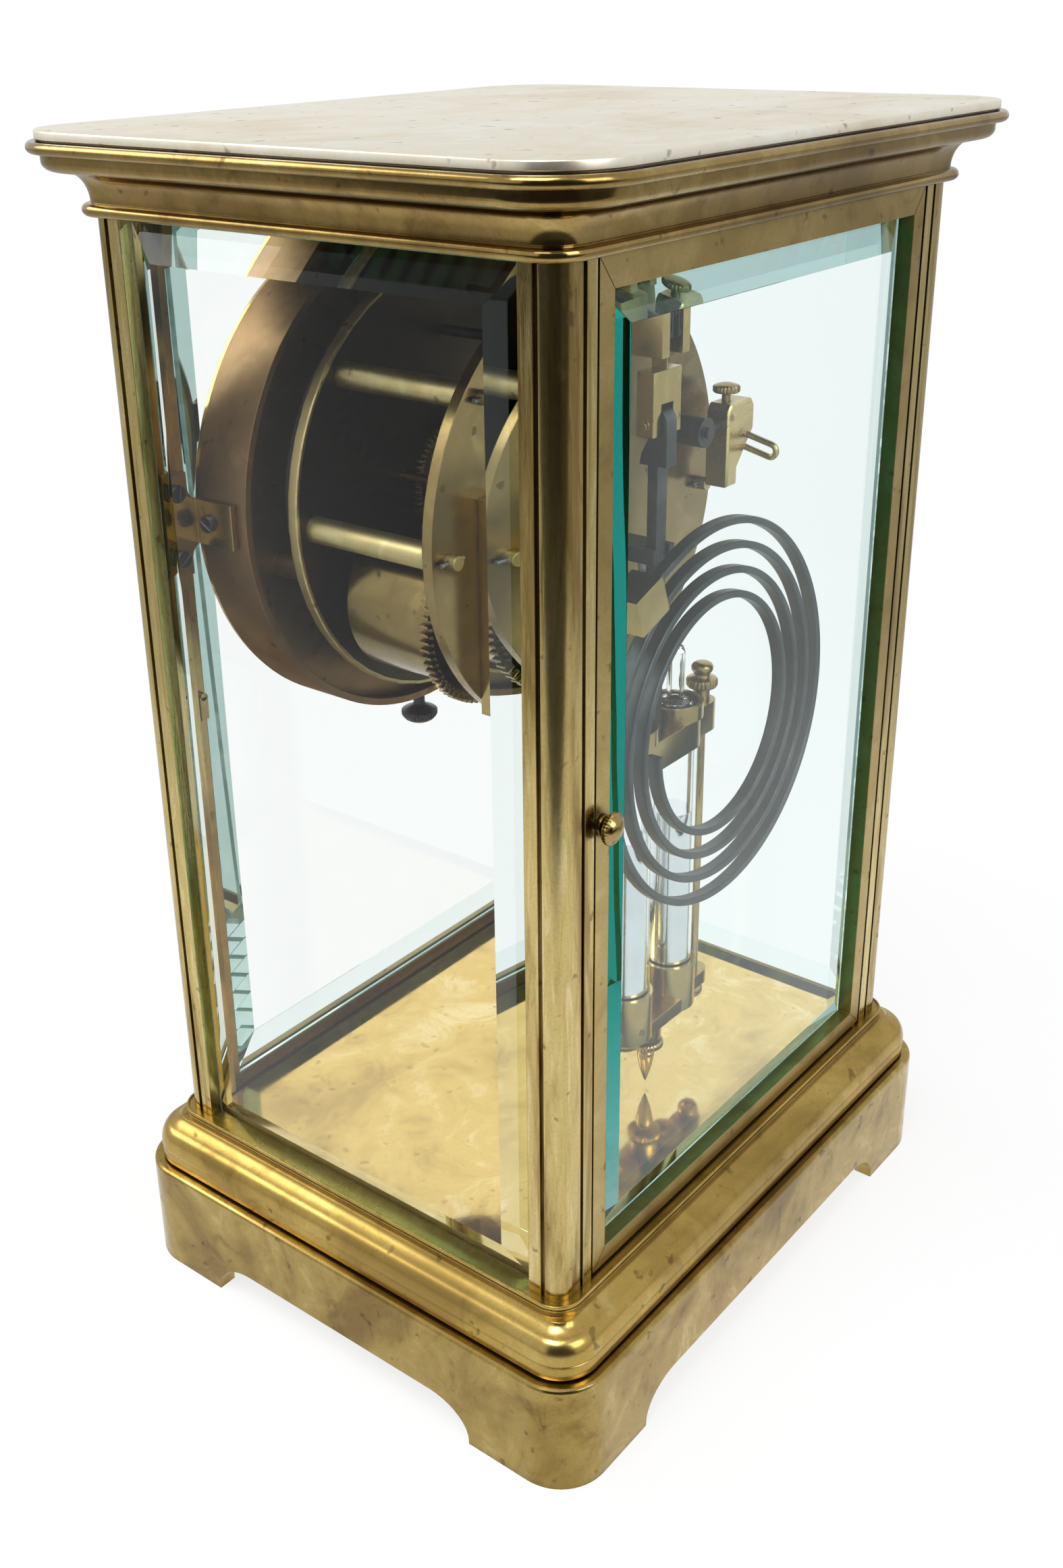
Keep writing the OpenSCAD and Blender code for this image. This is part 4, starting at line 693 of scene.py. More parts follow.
class Shape:
    """A mesh under construction, in millimetres."""

    def __init__(self, name: str) -> None:
        """Starts an empty mesh for an object of the given name."""
        self.name = name
        self.built = bmesh.new()

    def loft(self, loops: Sequence[Sequence[Point]], closed: bool = False) -> None:
        """Joins loops of equal length, and fills the ends of an open row.

        Args:
            loops: Closed loops of points.
            closed: Joins the last loop to the first.
        """
        rows = [[self.built.verts.new(point) for point in loop] for loop in loops]
        pairs = list(zip(rows, rows[1:])) + ([(rows[-1], rows[0])] if closed else [])
        for low, high in pairs:
            for a, b, c, d in zip(low, low[1:] + low[:1], high[1:] + high[:1], high):
                self.built.faces.new((a, b, c, d))
        if not closed:
            self.built.faces.new(rows[0][::-1])
            self.built.faces.new(rows[-1])

    def turn(
        self,
        profile: Profile,
        at: Point,
        way: Turn = Turn.UP,
        ribs: int = 0,
        bite: float = 0.0,
        between: Pair = (0.0, 0.0),
        closed: bool = False,
    ) -> None:
        """Adds a turned piece, knurled where asked.

        Args:
            profile: Pairs of radius and height along the axis.
            at: Foot of the axis.
            way: Direction of the axis.
            ribs: Number of knurls.
            bite: Depth of the knurls.
            between: Heights that the knurls lie between.
            closed: Joins the profile's ends into a ring.
        """
        count = max(ROUND_STEPS, ribs * RIB_STEPS)
        loops = []
        for radius, height in profile:
            depth = bite if between[0] <= height <= between[1] else 0.0
            loop = []
            for k in range(count):
                angle = FULL_TURN * k / count
                reach = max(radius - depth * (0.5 + 0.5 * math.cos(ribs * angle)), AXIS_R)
                spot = Vector((reach * math.cos(angle), reach * math.sin(angle), height))
                loop.append(way.value @ spot + Vector(at))
            loops.append(loop)
        self.loft(loops, closed)

    def prism(self, outline: Profile, low: float, high: float, at: Point, way: Turn, ease: float) -> None:
        """Adds a straight piece with eased edges.

        Args:
            outline: Corners across the axis, in order.
            low: Start along the axis.
            high: End along the axis.
            at: Foot of the axis.
            way: Direction of the axis.
            ease: Width of the eased edges.
        """
        loops = []
        for depth, height in ((ease, low), (0.0, low + ease), (0.0, high - ease), (ease, high)):
            flat = inset(anticlockwise(outline), depth)
            loops.append([way.value @ Vector((x, y, height)) + Vector(at) for x, y in flat])
        self.loft(loops)

    def slotted(self, radius: float, height: float, at: Point, way: Turn, angle: float, gap: float = 0.16) -> None:
        """Adds the head of a slotted screw.

        Args:
            radius: Radius of the head.
            height: Height of the head.
            at: Foot of its axis.
            way: Direction of the axis.
            angle: Direction of the slot, in degrees.
            gap: Width of the slot as a share of the head's.
        """
        floor, ease = 0.5 * height, 0.16 * height
        self.turn([(AXIS_R, 0), (radius, 0), (radius, floor), (AXIS_R, floor)], at, way)
        start = math.degrees(math.asin(gap))
        for turned in (angle, angle + 180):
            half = arc((0, 0), (radius, radius), turned + start, turned + 180 - start, 20)
            self.prism(half, floor - LAP, height, at, way, ease)

    def sweep(self, path: Sequence[Point], section: Profile, across: Point) -> None:
        """Draws a section along a path that lies in a plane.

        Args:
            path: Points along the middle.
            section: Pairs of distance outward in the plane and distance across it.
            across: Direction across the plane.
        """
        points, side = [Vector(p) for p in path], Vector(across)
        loops = []
        for k, middle in enumerate(points):
            ahead = points[min(k + 1, len(points) - 1)] - points[max(k - 1, 0)]
            out = ahead.cross(side).normalized()
            loops.append([middle + out * u + side * v for u, v in section])
        self.loft(loops)

    def done(self) -> bpy.types.Object:
        """Closes the mesh.

        Returns:
            The object in metres, smooth except at its sharp edges.
        """
        bmesh.ops.remove_doubles(self.built, verts=self.built.verts, dist=WELD)
        bmesh.ops.recalc_face_normals(self.built, faces=self.built.faces)
        bmesh.ops.scale(self.built, vec=(MM, MM, MM), verts=self.built.verts)
        for face in self.built.faces:
            face.smooth = True
        for edge in self.built.edges:
            edge.smooth = len(edge.link_faces) == 2 and edge.calc_face_angle(0.0) < SMOOTH_BELOW
        mesh = bpy.data.meshes.new(self.name)
        self.built.to_mesh(mesh)
        self.built.free()
        return stand(self.name, mesh)


@dataclass
class SubAssembly:
    """A group of pieces on the clock."""

    def keep(self, finish: Finish, *nodes: str) -> None:
        """Gives CAD nodes a finish.

        Args:
            finish: Finish to wear.
            nodes: Names of the nodes.
        """
        for name in nodes:
            slots = frame["nodes"][name].data.materials
            slots.clear()
            slots.append(finish.material())
            LOG.info("dressed %s in %s", name, finish.name)

    def put(self, made: bpy.types.Object, finish: Finish, body: str, slot: str, *nodes: str) -> None:
        """Sets a new piece on its body.

        Args:
            made: New piece, in place.
            finish: Finish to wear.
            body: CAD body that it moves with.
            slot: Material slot of the record; not used.
            nodes: CAD nodes that it stands for.
        """
        made.data.materials.clear()
        made.data.materials.append(finish.material())
        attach(made, body)
        if nodes:
            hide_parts(*nodes)
        LOG.info("built %s on %s", made.name, body)


@dataclass
class Studio:
    """Camera at the photograph's place, soft lamps, a pale floor, a dark card and a white surround."""

    eye: Point = (0.283089, 0.215511, 0.288909)
    right: Point = (-0.621107, 0.783571, -0.015616)
    down: Point = (0.327408, 0.241317, -0.913548)
    ahead: Point = (-0.712061, -0.572524, -0.406431)
    lens: float = 38.5276
    sensor: float = 36.0
    shift: Pair = (0.01727, -0.03570)
    clip: Pair = (0.005, 50.0)
    lamps: Sequence[tuple[str, Point, float, float]] = (
        ("key", (0.5, 0.1, 1.0), 0.5, 7.0),
        ("fill", (0.1, 1.0, 0.8), 0.6, 5.0),
        ("front", (0.45, -0.85, 0.8), 0.6, 5.0),
    )
    lamp_aim: Point = (0.0, 0.0, 0.13)
    floor_half: float = 6.0
    floor_white: Pair = (0.80, 1.0)
    floor_shine: Pair = (0.95, 0.35)
    white_from: Pair = (0.1, 0.26)
    far_from: Pair = (0.15, 0.5)
    far_dim: float = 0.7
    dark_from: Pair = (0.24, 0.40)
    pale_paper: Colour = (0.86, 0.86, 0.86)
    dark_paper: Colour = (0.06, 0.06, 0.06)
    card_at: float = 0.75
    card_half: float = 0.45
    card_height: float = 0.85
    light: float = 0.5
    light_seen: float = 0.5
    light_glossy: float = 0.3
    bounces: int = 48

    def build(self) -> None:
        """Makes the camera, the lamps, the floor, the card and the surround."""
        self.camera()
        for lamp in self.lamps:
            self.lamp(*lamp)
        self.floor()
        self.card()
        self.surround()

    def camera(self) -> None:
        """Places the camera that matches the photograph."""
        data = bpy.data.cameras.new("photo_camera")
        data.lens, data.sensor_width = self.lens, self.sensor
        data.shift_x, data.shift_y = self.shift
        data.clip_start, data.clip_end = self.clip
        camera = stand("photo_camera", data)
        axes = Matrix((self.right, -Vector(self.down), -Vector(self.ahead))).transposed()
        camera.matrix_world = Matrix.Translation(self.eye) @ axes.to_4x4()
        bpy.context.scene.camera = camera

    def lamp(self, name: str, at: Point, size: float, watts: float) -> None:
        """Hangs a square lamp that faces the middle of the clock.

        Args:
            name: Name of the lamp.
            at: Place in metres.
            size: Side of the square.
            watts: Power.
        """
        data = bpy.data.lights.new(name, "AREA")
        data.size, data.energy = size, watts
        lamp = stand(name, data)
        lamp.location = at
        aim = Vector(self.lamp_aim) - Vector(at)
        lamp.rotation_euler = aim.to_track_quat("-Z", "Y").to_euler()

    @staticmethod
    def rays(paint: Paint) -> tuple[Signal, Signal]:
        """Tells apart the rays that see the surround.

        Args:
            paint: Tree to add to.

        Returns:
            A signal that is 1 on camera and transmission rays, and one that is 1 on glossy rays.
        """
        path = paint.node("ShaderNodeLightPath")
        camera, glossy, through = (
            Signal(paint, path.outputs[name]) for name in ("Is Camera Ray", "Is Glossy Ray", "Is Transmission Ray")
        )
        return camera.either(through), glossy

    def sheet(self, name: str, corners_at: Sequence[Point]) -> tuple[bpy.types.Object, Paint]:
        """Sets up a flat sheet of the stage.

        Args:
            name: Name of the sheet.
            corners_at: Its four corners in metres.

        Returns:
            The sheet and the empty tree of its material.
        """
        mesh = bpy.data.meshes.new(name)
        mesh.from_pydata(corners_at, [], [(0, 1, 2, 3)])
        sheet = stand(name, mesh)
        material = bpy.data.materials.new(f"{name}_paper")
        material.use_nodes = True
        mesh.materials.append(material)
        return sheet, Paint(material.node_tree)

    def toward(self) -> Vector:
        """Level direction from the clock to the camera."""
        return Vector((-self.ahead[0], -self.ahead[1], 0)).normalized()

    def floor(self) -> None:
        """Lays the pale floor, white away from the clock and dim toward the camera in reflections."""
        half = self.floor_half
        paint = self.sheet("floor", [(half * u, half * v, 0) for u, v in QUARTERS])[1]
        at = paint.where()
        reach = paint.add("ShaderNodeVectorMath", {"operation": "LENGTH"}, {0: at}, "Value")
        near = paint.add("ShaderNodeVectorMath", {"operation": "DOT_PRODUCT"}, {0: at, 1: self.toward()}, "Value")
        dim = near.band(*self.dark_from)
        far = reach.band(*self.far_from)
        seen, glossy = self.rays(paint)
        white = self.floor_white[0] + reach.band(*self.white_from) * (self.floor_white[1] - self.floor_white[0])
        shine = (self.floor_shine[0] + far * (self.floor_shine[1] - self.floor_shine[0])) * (1.0 - dim)
        tone = paint.mix(dim.either(far * self.far_dim), self.pale_paper, self.dark_paper)
        paper = paint.add("ShaderNodeBsdfDiffuse", None, {"Color": tone})
        light = paint.add("ShaderNodeEmission", None, {"Color": (1, 1, 1, 1), "Strength": 1.0})
        share = seen * white + glossy * shine
        paint.finish(paint.add("ShaderNodeMixShader", None, {0: share, 1: paper, 2: light}))

    def card(self) -> None:
        """Stands a dark card behind the camera, which only reflections show."""
        side = Vector((-self.toward().y, self.toward().x, 0)) * self.card_half
        middle = self.toward() * self.card_at
        rise = Vector((0, 0, self.card_height))
        corners_at = [middle - side, middle + side, middle + side + rise, middle - side + rise]
        card, paint = self.sheet("dark_card", corners_at)
        card.visible_camera = card.visible_transmission = card.visible_diffuse = card.visible_shadow = False
        paint.finish(paint.add("ShaderNodeBsdfDiffuse", None, {"Color": (*self.dark_paper, 1.0)}))

    def surround(self) -> None:
        """Sets the white surround and the plain light that it gives."""
        world = bpy.data.worlds.new("surround")
        world.use_nodes = True
        bpy.context.scene.world = world
        paint = Paint(world.node_tree)
        seen, glossy = self.rays(paint)
        strength = self.light + seen * self.light_seen + glossy * self.light_glossy
        white = paint.add("ShaderNodeBackground", None, {"Color": (1, 1, 1, 1), "Strength": strength})
        paint.node("ShaderNodeOutputWorld", None, {"Surface": white})
        scene = bpy.context.scene
        scene.view_settings.view_transform = "Standard"
        scene.cycles.max_bounces = scene.cycles.glossy_bounces = scene.cycles.transmission_bounces = self.bounces


@dataclass
class Case(SubAssembly):
    """Base, columns, cornice and the fixed glasses."""

    half: Pair = (69.9, 56.4)
    floor_half: Pair = (65.1, 47.7)
    base_well: Pair = (52.4, 41.1)
    cornice_well: Pair = (51.4, 40.1)
    corner: float = 1.5
    ledge_corner: float = 4.2
    cornice_corner: float = 4.6
    well_corner: float = 0.05
    rail_x: float = 67.5
    rail_half: Pair = (2.0, 48.1)
    rail_drop: float = 0.5
    plinth_z: float = 27.1
    ledge_z: float = 40.6
    cornice_z: float = 249.0
    top_z: float = 263.0

    def build(self) -> None:
        """Dresses the case."""
        self.keep(CASE_BRASS, "base_plinth")
        self.put(self.moulding(), MOULD_BRASS, "case", "case_brass", "base_moulding")
        self.keep(FLOOR_BRASS, "floor_plate")
        self.keep(COLUMN_BRASS, *(f"column_{end}_{side}" for end in ("front", "rear") for side in ("right", "left")))
        self.put(self.cornice(), CORNICE_BRASS, "case", "cornice_brass", "cornice")
        self.put(self.top(), TOP_PAINTED_LIGHT_BRASS, "case", "cornice_brass", "top_plate")
        self.keep(WORK_STEEL, "column_screws")
        self.keep(SIDE_GLASS, "side_glass_right", "side_glass_left")

    def rim(self, profile: Profile, corner: float) -> list[list[Point]]:
        """Loops round the case for pairs of distance beyond the columns and height."""
        x, y = self.half
        return [plan(x + out, y + out, corner + out, z) for out, z in profile]

    def moulding(self) -> bpy.types.Object:
        """Draws the moulding between the plinth and the glasses.

        Returns:
            The moulding, hollow in the middle.
        """
        low, top = self.plinth_z, self.ledge_z
        band = [(6.6, low), (6.6, low + 0.4), (7.55, low + 0.45), (7.75, low + 0.6), (7.8, low + 0.85)]
        band += [(7.8, low + 3.8), (7.7, low + 3.95), (7.45, low + 4.1), (7.75, low + 4.25)]
        roll = arc((4.65, low + 4.3), (3.25, 5.1), 0, 75, 20)
        cove = bend(roll[-1], (3.2, low + 9.95), (2.55, top - 2.4), 12)
        ledge = [(2.2, top - 2.35), (2.2, top - 0.95), (2.15, top - 0.9), (1.85, top - 0.88), (1.85, top - 0.52)]
        ledge += [(2.15, top - 0.5), (2.2, top - 0.45), (2.2, top + 0.15), (2.1, top + 0.3), (1.7, top + 0.3)]
        ledge += [(1.6, top)]
        shape = Shape("base_moulding_swept")
        loops = self.rim(band + roll + cove, self.corner) + self.rim(ledge, self.ledge_corner)
        wells = ((self.floor_half, top), (self.floor_half, top - 1), (self.base_well, top - 1), (self.base_well, low))
        loops += [plan(*half, self.well_corner, z) for half, z in wells]
        shape.loft(loops, closed=True)
        return shape.done()

    def cornice(self) -> bpy.types.Object:
        """Draws the cornice with the rails over the side glasses.

        Returns:
            The cornice, hollow in the middle.
        """
        low, top = self.cornice_z, self.top_z
        bead = arc((2.0, low + 1.2), (1.2, 1.2), -90, 90, 14)
        cavetto = arc((5.2, low + 2.5), (-3.8, 5.5), 0, 90, 16)
        soffit = [(7.3, low + 8.35)] + arc((7.3, low + 10.3), (2.5, 1.9), -90, 0, 10)[1:]
        crown = [(9.8, top - 2.2)] + arc((11.2, top - 1.1), (1.1, 1.1), -90, 90, 14)
        shape = Shape("cornice_swept")
        loops = self.rim(bead + cavetto + soffit + crown, self.cornice_corner)
        loops += [plan(*self.cornice_well, self.well_corner, z) for z in (top, low)]
        shape.loft(loops, closed=True)
        half_x, half_y = self.rail_half
        for side in (-1, 1):
            rail = [(side * self.rail_x + u * half_x, v * half_y) for u, v in QUARTERS]
            shape.prism(rail, low - self.rail_drop, low + 0.05, (0, 0, 0), Turn.UP, ease=0.02)
        return shape.done()

    def top(self) -> bpy.types.Object:
        """Cuts the plate that closes the top.

        Returns:
            The plate.
        """
        z = self.top_z
        edge = [(9.7, z), (9.7, z + 0.35), (10.4, z + 0.35), (10.5, z + 0.45), (10.5, z + 1.7), (10.43, z + 1.9)]
        shape = Shape("top_plate_cut")
        shape.loft(self.rim(edge + [(10.25, z + 2.0)], self.cornice_corner))
        return shape.done()


@dataclass
class Doors(SubAssembly):
    """Front and rear doors with their glasses and knobs."""

    face: float = 56.3
    edge: float = 58.7
    glass_edge: float = 54.4
    glass_gap: float = 0.25
    low: Pair = (41.3, 45.6)
    high: Pair = (248.6, 243.1)
    knob_at: Pair = (56.8, 146.1)
    knob_gap: float = 0.3
    shaft: float = 0.9
    tongue: Pair = (49.3, 50.8)
    tongue_half: float = 1.2
    tongue_length: float = 5.5
    mitre_half: float = 0.07

    def build(self) -> None:
        """Dresses both doors."""
        for end, way, glass in (("front", Turn.FRONT, FRONT_GLASS), ("rear", Turn.BACK, REAR_GLASS)):
            self.keep(glass, f"{end}_door_glass")
            fit = frame["nodes"][f"{end}_door_glass"].modifiers.new("fit", "DISPLACE")
            fit.mid_level, fit.strength = 0.0, -self.glass_gap * MM
            self.keep(FRAME_BRASS, f"{end}_door_frame")
            self.put(self.knob(end, way), TRIM_BRASS, f"{end}_knob", "case_brass", f"{end}_door_knob")
            self.put(self.mitres(end, way), DARK_AND_SHADED_BRASS, f"{end}_door", "case_brass")

    def knob(self, end: str, way: Turn) -> bpy.types.Object:
        """Turns a knurled knob on its shaft with its tongue.

        Args:
            end: End of the case.
            way: Direction that the knob faces.

        Returns:
            The knob.
        """
        shape = Shape(f"{end}_knob_knurled")
        x, z = self.knob_at
        foot = (x, 0.0, z)
        out = self.face + self.knob_gap
        shape.turn([(self.shaft, self.tongue[0]), (self.shaft, out + 0.5)], foot, way)
        rim = [(AXIS_R, 0), (2.2, 0), (2.2, 0.5), (1.5, 0.8), (1.4, 1.2), (2.9, 1.5), (3.3, 1.8), (3.3, 2.5)]
        dome = [(2.9, 2.7), (2.3, 3.0), (2.1, 3.3), (1.6, 3.6), (0.8, 3.9), (AXIS_R, 4.0)]
        profile = [(r, h + out) for r, h in rim + dome]
        shape.turn(profile, foot, way, ribs=30, bite=0.22, between=(out + 1.75, out + 2.55))
        half = self.tongue_half
        fall = self.tongue_length if way is Turn.BACK else -self.tongue_length
        shape.prism([(-half, 0.0), (half, 0.0), (half, fall), (-half, fall)], *self.tongue, foot, way, ease=0.2)
        return shape.done()

    def mitres(self, end: str, way: Turn) -> bpy.types.Object:
        """Draws the fine joints across the corners of a door frame.

        Args:
            end: End of the case.
            way: Direction that the face looks.

        Returns:
            The four joints.
        """
        shape = Shape(f"{end}_door_mitres")
        flip = -1 if way is Turn.BACK else 1
        for side in (-1, 1):
            for z_out, z_in in (self.low, self.high):
                a = Vector((side * self.edge, flip * z_out))
                b = Vector((side * self.glass_edge, flip * z_in))
                half = (b - a).orthogonal().normalized() * self.mitre_half
                strip = [tuple(p) for p in (a + half, a - half, b - half, b + half)]
                shape.prism(strip, self.face - 0.05, self.face + 0.03, (0, 0, 0), way, ease=0.01)
        return shape.done()


@dataclass
class DialGroup(SubAssembly):
    """Drum, bezel, dial, hands and the brackets that hold the drum."""

    middle: float = 186.7
    column_screw_at: Pair = (61.4, -46.6)
    column_screw_rise: float = 7.0
    drum_screw_at: Pair = (56.5, -43.0)
    shank: float = 0.9
    head: Pair = (1.9, 1.0)
    thumb_y: float = -37.1
    thumb_drop: float = 63.2

    def build(self) -> None:
        """Dresses the dial side."""
        self.keep(DRUM_BRASS, "dial_drum")
        self.keep(BEZEL_BRASS, "bezel")
        self.keep(DIAL_ENAMEL, "dial")
        self.keep(DIAL_INK, "dial_markings")
        self.keep(TRIM_BRASS, "bracket_right", "bracket_left")
        self.keep(BLUED_STEEL, "hour_hand", "minute_hand")
        self.put(self.screws(), BLUED_STEEL, "case", "blued_steel", "bracket_screws")
        self.put(self.thumb_screw(), BLUED_STEEL, "case", "blued_steel", "drum_thumb_screw")

    def screws(self) -> bpy.types.Object:
        """Makes the slotted screws of the two brackets.

        Returns:
            The six screws.
        """
        shape = Shape("bracket_screws_slotted")
        rise = self.column_screw_rise
        for side, way in ((-1, Turn.LEFT), (1, Turn.RIGHT)):
            x, y = self.column_screw_at
            self.screw(shape, (side * x, y, self.middle - rise), Turn.BACK, length=5.0, angle=35)
            self.screw(shape, (side * x, y, self.middle + rise), Turn.BACK, length=5.0, angle=80)
            x, y = self.drum_screw_at
            self.screw(shape, (side * x, y, self.middle), way, length=3.1, angle=60)
        return shape.done()

    def screw(self, shape: Shape, at: Point, way: Turn, length: float, angle: float) -> None:
        """Adds a slotted screw to a shape, with its slot at an angle in degrees."""
        shape.turn([(self.shank, -length), (self.shank, LAP)], at, way)
        shape.slotted(*self.head, at, way, angle)

    def thumb_screw(self) -> bpy.types.Object:
        """Turns the knurled screw under the drum.

        Returns:
            The screw.
        """
        shape = Shape("drum_thumb_screw_knurled")
        head = [(AXIS_R, 0), (1.6, 0.15), (2.8, 0.5), (3.6, 1.0), (4.1, 1.6), (4.4, 2.1), (4.4, 3.1), (4.0, 3.4)]
        stem = [(3.0, 3.8), (1.9, 4.4), (1.5, 4.8), (1.4, 5.2), (1.4, 10.0), (AXIS_R, 10.0)]
        foot = (0, self.thumb_y, self.middle - self.thumb_drop)
        shape.turn(head + stem, foot, ribs=36, bite=0.25, between=(1.55, 3.15))
        return shape.done()


@dataclass
class Movement(SubAssembly):
    """Plates, barrels, wheels and the escapement."""

    rear: float = 10.7
    front: Pair = (-28.2, -25.7)
    reach: float = 48.0
    middle: float = 186.7
    pivot_hole: float = 0.75
    winding_hole: float = 2.05

    def build(self) -> None:
        """Dresses the movement."""
        # The front plate's brass wears painted shade.
        self.keep(DARK_AND_SHADED_BRASS, "front_plate")
        self.keep(PLATE_BRASS, "back_plate")
        self.keep(PILLAR_BRASS, "pillars")
        self.keep(TRIM_BRASS, "suspension_bracket", "gong_stand")
        self.keep(WORK_STEEL, "taper_pins", "going_arbor", "strike_arbor", "going_mainspring", "strike_mainspring")
        self.keep(BARREL_BRASS, "going_barrel", "strike_barrel")
        self.keep(WHEEL_BRASS, "second_wheel", "centre_wheel", "third_wheel")
        self.keep(WHEEL_BRASS, "escape_wheel", "hour_wheel", "minute_wheel", "pin_wheel", "strike_fly")
        self.keep(ROD_STEEL, "pallets")
        self.keep(BLUED_STEEL, "rate_adjuster")
        self.put(self.bushes(), DARK_AND_SHADED_BRASS, "case", "movement_brass")
        self.put(self.rim(), PILLAR_BRASS, "case", "movement_brass")

    def rim(self) -> bpy.types.Object:
        """Turns the bright edge of the front plate.

        Returns:
            The edge.
        """
        shape = Shape("front_plate_rim")
        (low, high), reach = self.front, self.reach
        edge = [(reach - 0.6, low - 0.05), (reach, low - 0.05), (reach + 0.2, low + 0.2), (reach + 0.2, high - 0.2)]
        edge += [(reach, high + 0.05), (reach - 0.6, high + 0.05)]
        shape.turn(edge, (0, 0, self.middle), Turn.BACK, closed=True)
        return shape.done()

    def bushes(self) -> bpy.types.Object:
        """Rings the pivots that show on the rear of the back plate.

        Returns:
            The rings.
        """
        shape = Shape("pivot_bushes")
        pivots = ("second_turn", "third_turn", "escape_turn", "pin_turn", "fly_turn", "minute_turn")
        holes = dict.fromkeys(pivots, self.pivot_hole)
        holes |= dict.fromkeys(("going_winding", "strike_winding"), self.winding_hole)
        for joint in frame["joints"]:
            if joint["name"] in holes:
                x, _, z = (c / MM for c in joint["pos_m"])
                hole = holes[joint["name"]]
                ring = [(hole, 0.0), (hole + 1.5, 0.0), (hole + 1.4, 0.1), (hole + 0.6, 0.06), (hole, 0.02)]
                shape.turn(ring, (x, self.rear, z), Turn.BACK, closed=True)
        return shape.done()


@dataclass
class Pendulum(SubAssembly):
    """Suspension, rod, frame, jars of mercury and nuts."""

    plane: float = 27.5
    rod_x: float = 20.0
    nut_z: float = 138.6
    tip_z: float = 44.8

    def build(self) -> None:
        """Dresses the pendulum."""
        self.keep(TRIM_BRASS, "suspension_spring", "pendulum_frame")
        self.put(self.nuts(), TRIM_BRASS, "pendulum", "bright_brass", "pendulum_nuts")
        self.keep(ROD_STEEL, "pendulum_rod")
        self.keep(JAR_GLASS, "pendulum_jars")
        self.keep(MERCURY, "pendulum_mercury")

    def nuts(self) -> bpy.types.Object:
        """Turns the knurled nuts on the side rods and the finial under the frame.

        Returns:
            The two nuts and the finial.
        """
        shape = Shape("pendulum_nuts_knurled")
        neck = [(1.25, 0), (1.9, 0), (1.9, 2.6), (2.2, 2.9), (3.3, 3.2), (3.6, 3.6), (3.6, 4.9), (3.3, 5.2)]
        cap = [(1.9, 5.6), (1.8, 6.3), (2.2, 6.8), (2.5, 7.3), (2.5, 8.0), (2.2, 8.6), (1.7, 8.9), (1.25, 9.0)]
        for side in (-1, 1):
            foot = (side * self.rod_x, self.plane, self.nut_z)
            shape.turn(neck + cap, foot, ribs=26, bite=0.3, between=(3.5, 5.0))
        spike = [(AXIS_R, 0), (0.5, 1.1), (0.9, 2.4), (1.35, 3.8), (1.65, 5.2), (1.9, 6.6), (2.1, 8.0), (2.05, 8.7)]
        disc = [(1.6, 9.2), (1.35, 9.6), (1.5, 10.0), (3.7, 10.5), (4.2, 10.9), (4.2, 11.9), (3.7, 12.3)]
        disc += [(AXIS_R, 13.2)]
        shape.turn(spike + disc, (0.0, self.plane, self.tip_z), ribs=32, bite=0.2, between=(10.85, 11.95))
        return shape.done()


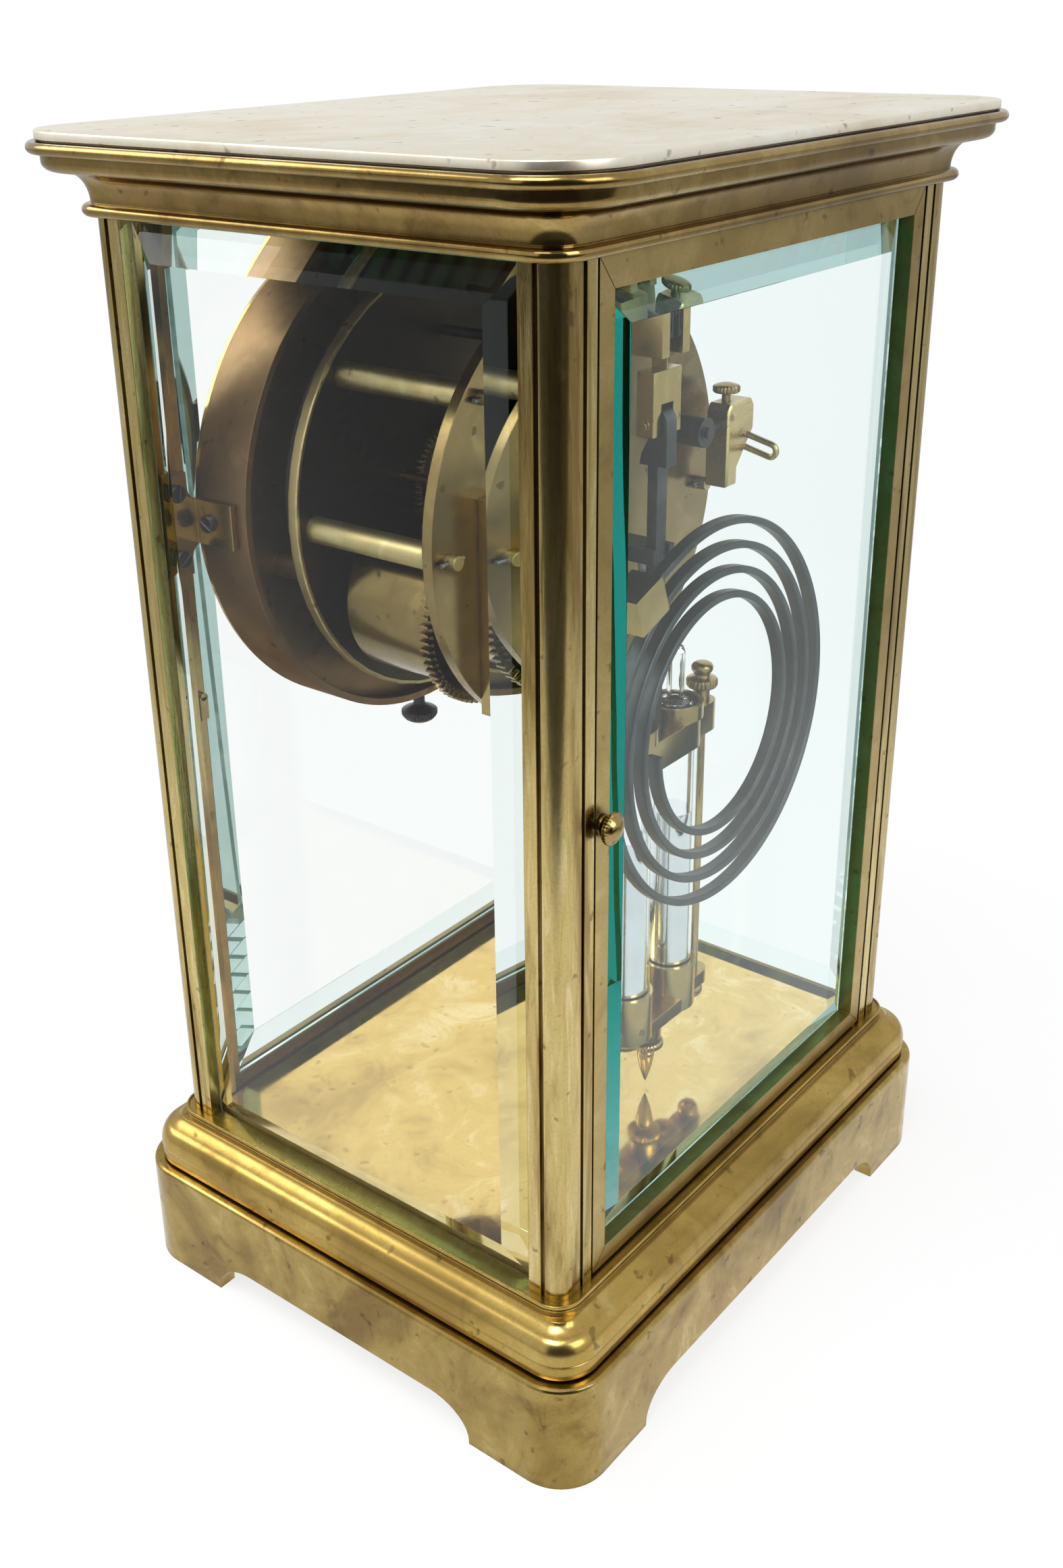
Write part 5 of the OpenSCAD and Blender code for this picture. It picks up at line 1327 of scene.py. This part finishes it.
@dataclass
class Strike(SubAssembly):
    """Gong and hammer."""

    gong_at: Point = (0.0, 43.7, 144.7)
    gong_reach: float = 43.0
    gong_pitch: float = 5.2
    gong_from: float = 70.0
    gong_to: float = 1440.0
    gong_step: float = 2.5
    gong_lead: float = 12.0
    lead_steps: int = 8
    gong_lean: float = 1.7
    strip: Pair = (1.6, 3.0)
    strip_round: Pair = (0.36, 0.5)
    head_x: Pair = (-51.0, -40.0)
    head_y: Pair = (14.0, 20.0)
    head_top: float = 201.1
    loop_at: Pair = (-48.0, 191.6)
    loop_reach: Pair = (-1.2, 6.5)
    loop_half: float = 1.5
    loop_tilt: float = -13.0
    wire: float = 0.75
    screw_x: float = -43.4

    def build(self) -> None:
        """Dresses the gong and the hammer."""
        self.put(self.gong(), GONG_STEEL, "case", "steel", "gong")
        self.keep(ROD_STEEL, "hammer_arbor")
        self.put(self.head(), HAMMER_BRASS, "hammer", "bright_brass", "hammer_head")
        self.put(self.screw(), TRIM_BRASS, "hammer", "bright_brass", "hammer_screw")

    def gong(self) -> bpy.types.Object:
        """Winds the gong from a flat strip with rounded edges.

        Returns:
            The gong.
        """
        shape = Shape("gong_coil")
        path = []
        start, first = math.radians(self.gong_from), self.coil(self.gong_from)
        for k in range(self.lead_steps, 0, -1):
            ahead = self.gong_lead * k / self.lead_steps
            across = first * math.cos(start) + ahead * math.sin(start)
            path.append((across, 0, first * math.sin(start) - ahead * math.cos(start)))
        for k in range(round((self.gong_to - self.gong_from) / self.gong_step) + 1):
            turn = self.gong_from + self.gong_step * k
            reach, angle = self.coil(turn), math.radians(turn)
            path.append((reach * math.cos(angle), 0, reach * math.sin(angle)))
        section = rounded([side / 2 for side in self.strip], self.strip_round, 5)
        lean = Matrix.Rotation(math.radians(self.gong_lean), 3, "X")
        shape.sweep([lean @ Vector(p) + Vector(self.gong_at) for p in path], section, lean @ Vector((0, 1, 0)))
        return shape.done()

    def coil(self, turn: float) -> float:
        """Radius of the gong after a turn in degrees."""
        return self.gong_reach - self.gong_pitch * (turn - 90) / 360

    def head(self) -> bpy.types.Object:
        """Cuts the tapered hammer head with the wire loop out of its rear.

        Returns:
            The head.
        """
        shape = Shape("hammer_block")
        top, (left, right) = self.head_top, self.head_x
        outline = [
            (right, top - 1.4),
            (right - 1.2, top),
            (left + 1.0, top),
            (left, top - 1.6),
            (left, top - 7.0),
            (right - 4.4, top - 15.0),
            (right - 4.4, top - 19.0),
            (right, top - 19.0),
        ]
        shape.prism([(a, -b) for a, b in outline], *self.head_y, (0, 0, 0), Turn.BACK, ease=0.45)
        tilt, half = Matrix.Rotation(math.radians(self.loop_tilt), 3, "X"), self.loop_half
        root, reach = self.loop_reach
        side = [(root, half)] + [(reach * k / 6, half) for k in range(7)]
        eye = arc((reach, 0.0), (half, half), 90, -90, 16)[1:-1]
        loop = side + eye + [(a, -b) for a, b in side[::-1]]
        foot = Vector((self.loop_at[0], self.head_y[1], self.loop_at[1]))
        path = [foot + tilt @ Vector((0, a, b)) for a, b in loop]
        shape.sweep(path, arc((0, 0), (self.wire, self.wire), 0, 360, 14)[:-1], (1, 0, 0))
        return shape.done()

    def screw(self) -> bpy.types.Object:
        """Turns the knurled clamp screw on the hammer head.

        Returns:
            The screw.
        """
        shape = Shape("hammer_screw_knurled")
        profile = [(AXIS_R, 0), (1.0, 0), (1.0, 1.7), (1.4, 2.0), (2.8, 2.2), (3.1, 2.5), (3.1, 3.5), (2.8, 3.8)]
        dome = [(2.2, 4.05), (1.4, 4.25), (0.6, 4.38), (AXIS_R, 4.4)]
        at = (self.screw_x, sum(self.head_y) / 2, self.head_top)
        shape.turn(profile + dome, at, ribs=24, bite=0.25, between=(2.45, 3.55))
        return shape.done()


def main() -> None:
    """Builds every sub-assembly."""
    logging.basicConfig(level=logging.INFO, format="%(message)s")
    for part in (Studio(), Case(), Doors(), DialGroup(), Movement(), Pendulum(), Strike()):
        LOG.info("building %s", type(part).__name__)
        part.build()


if __name__ == "__main__":
    main()
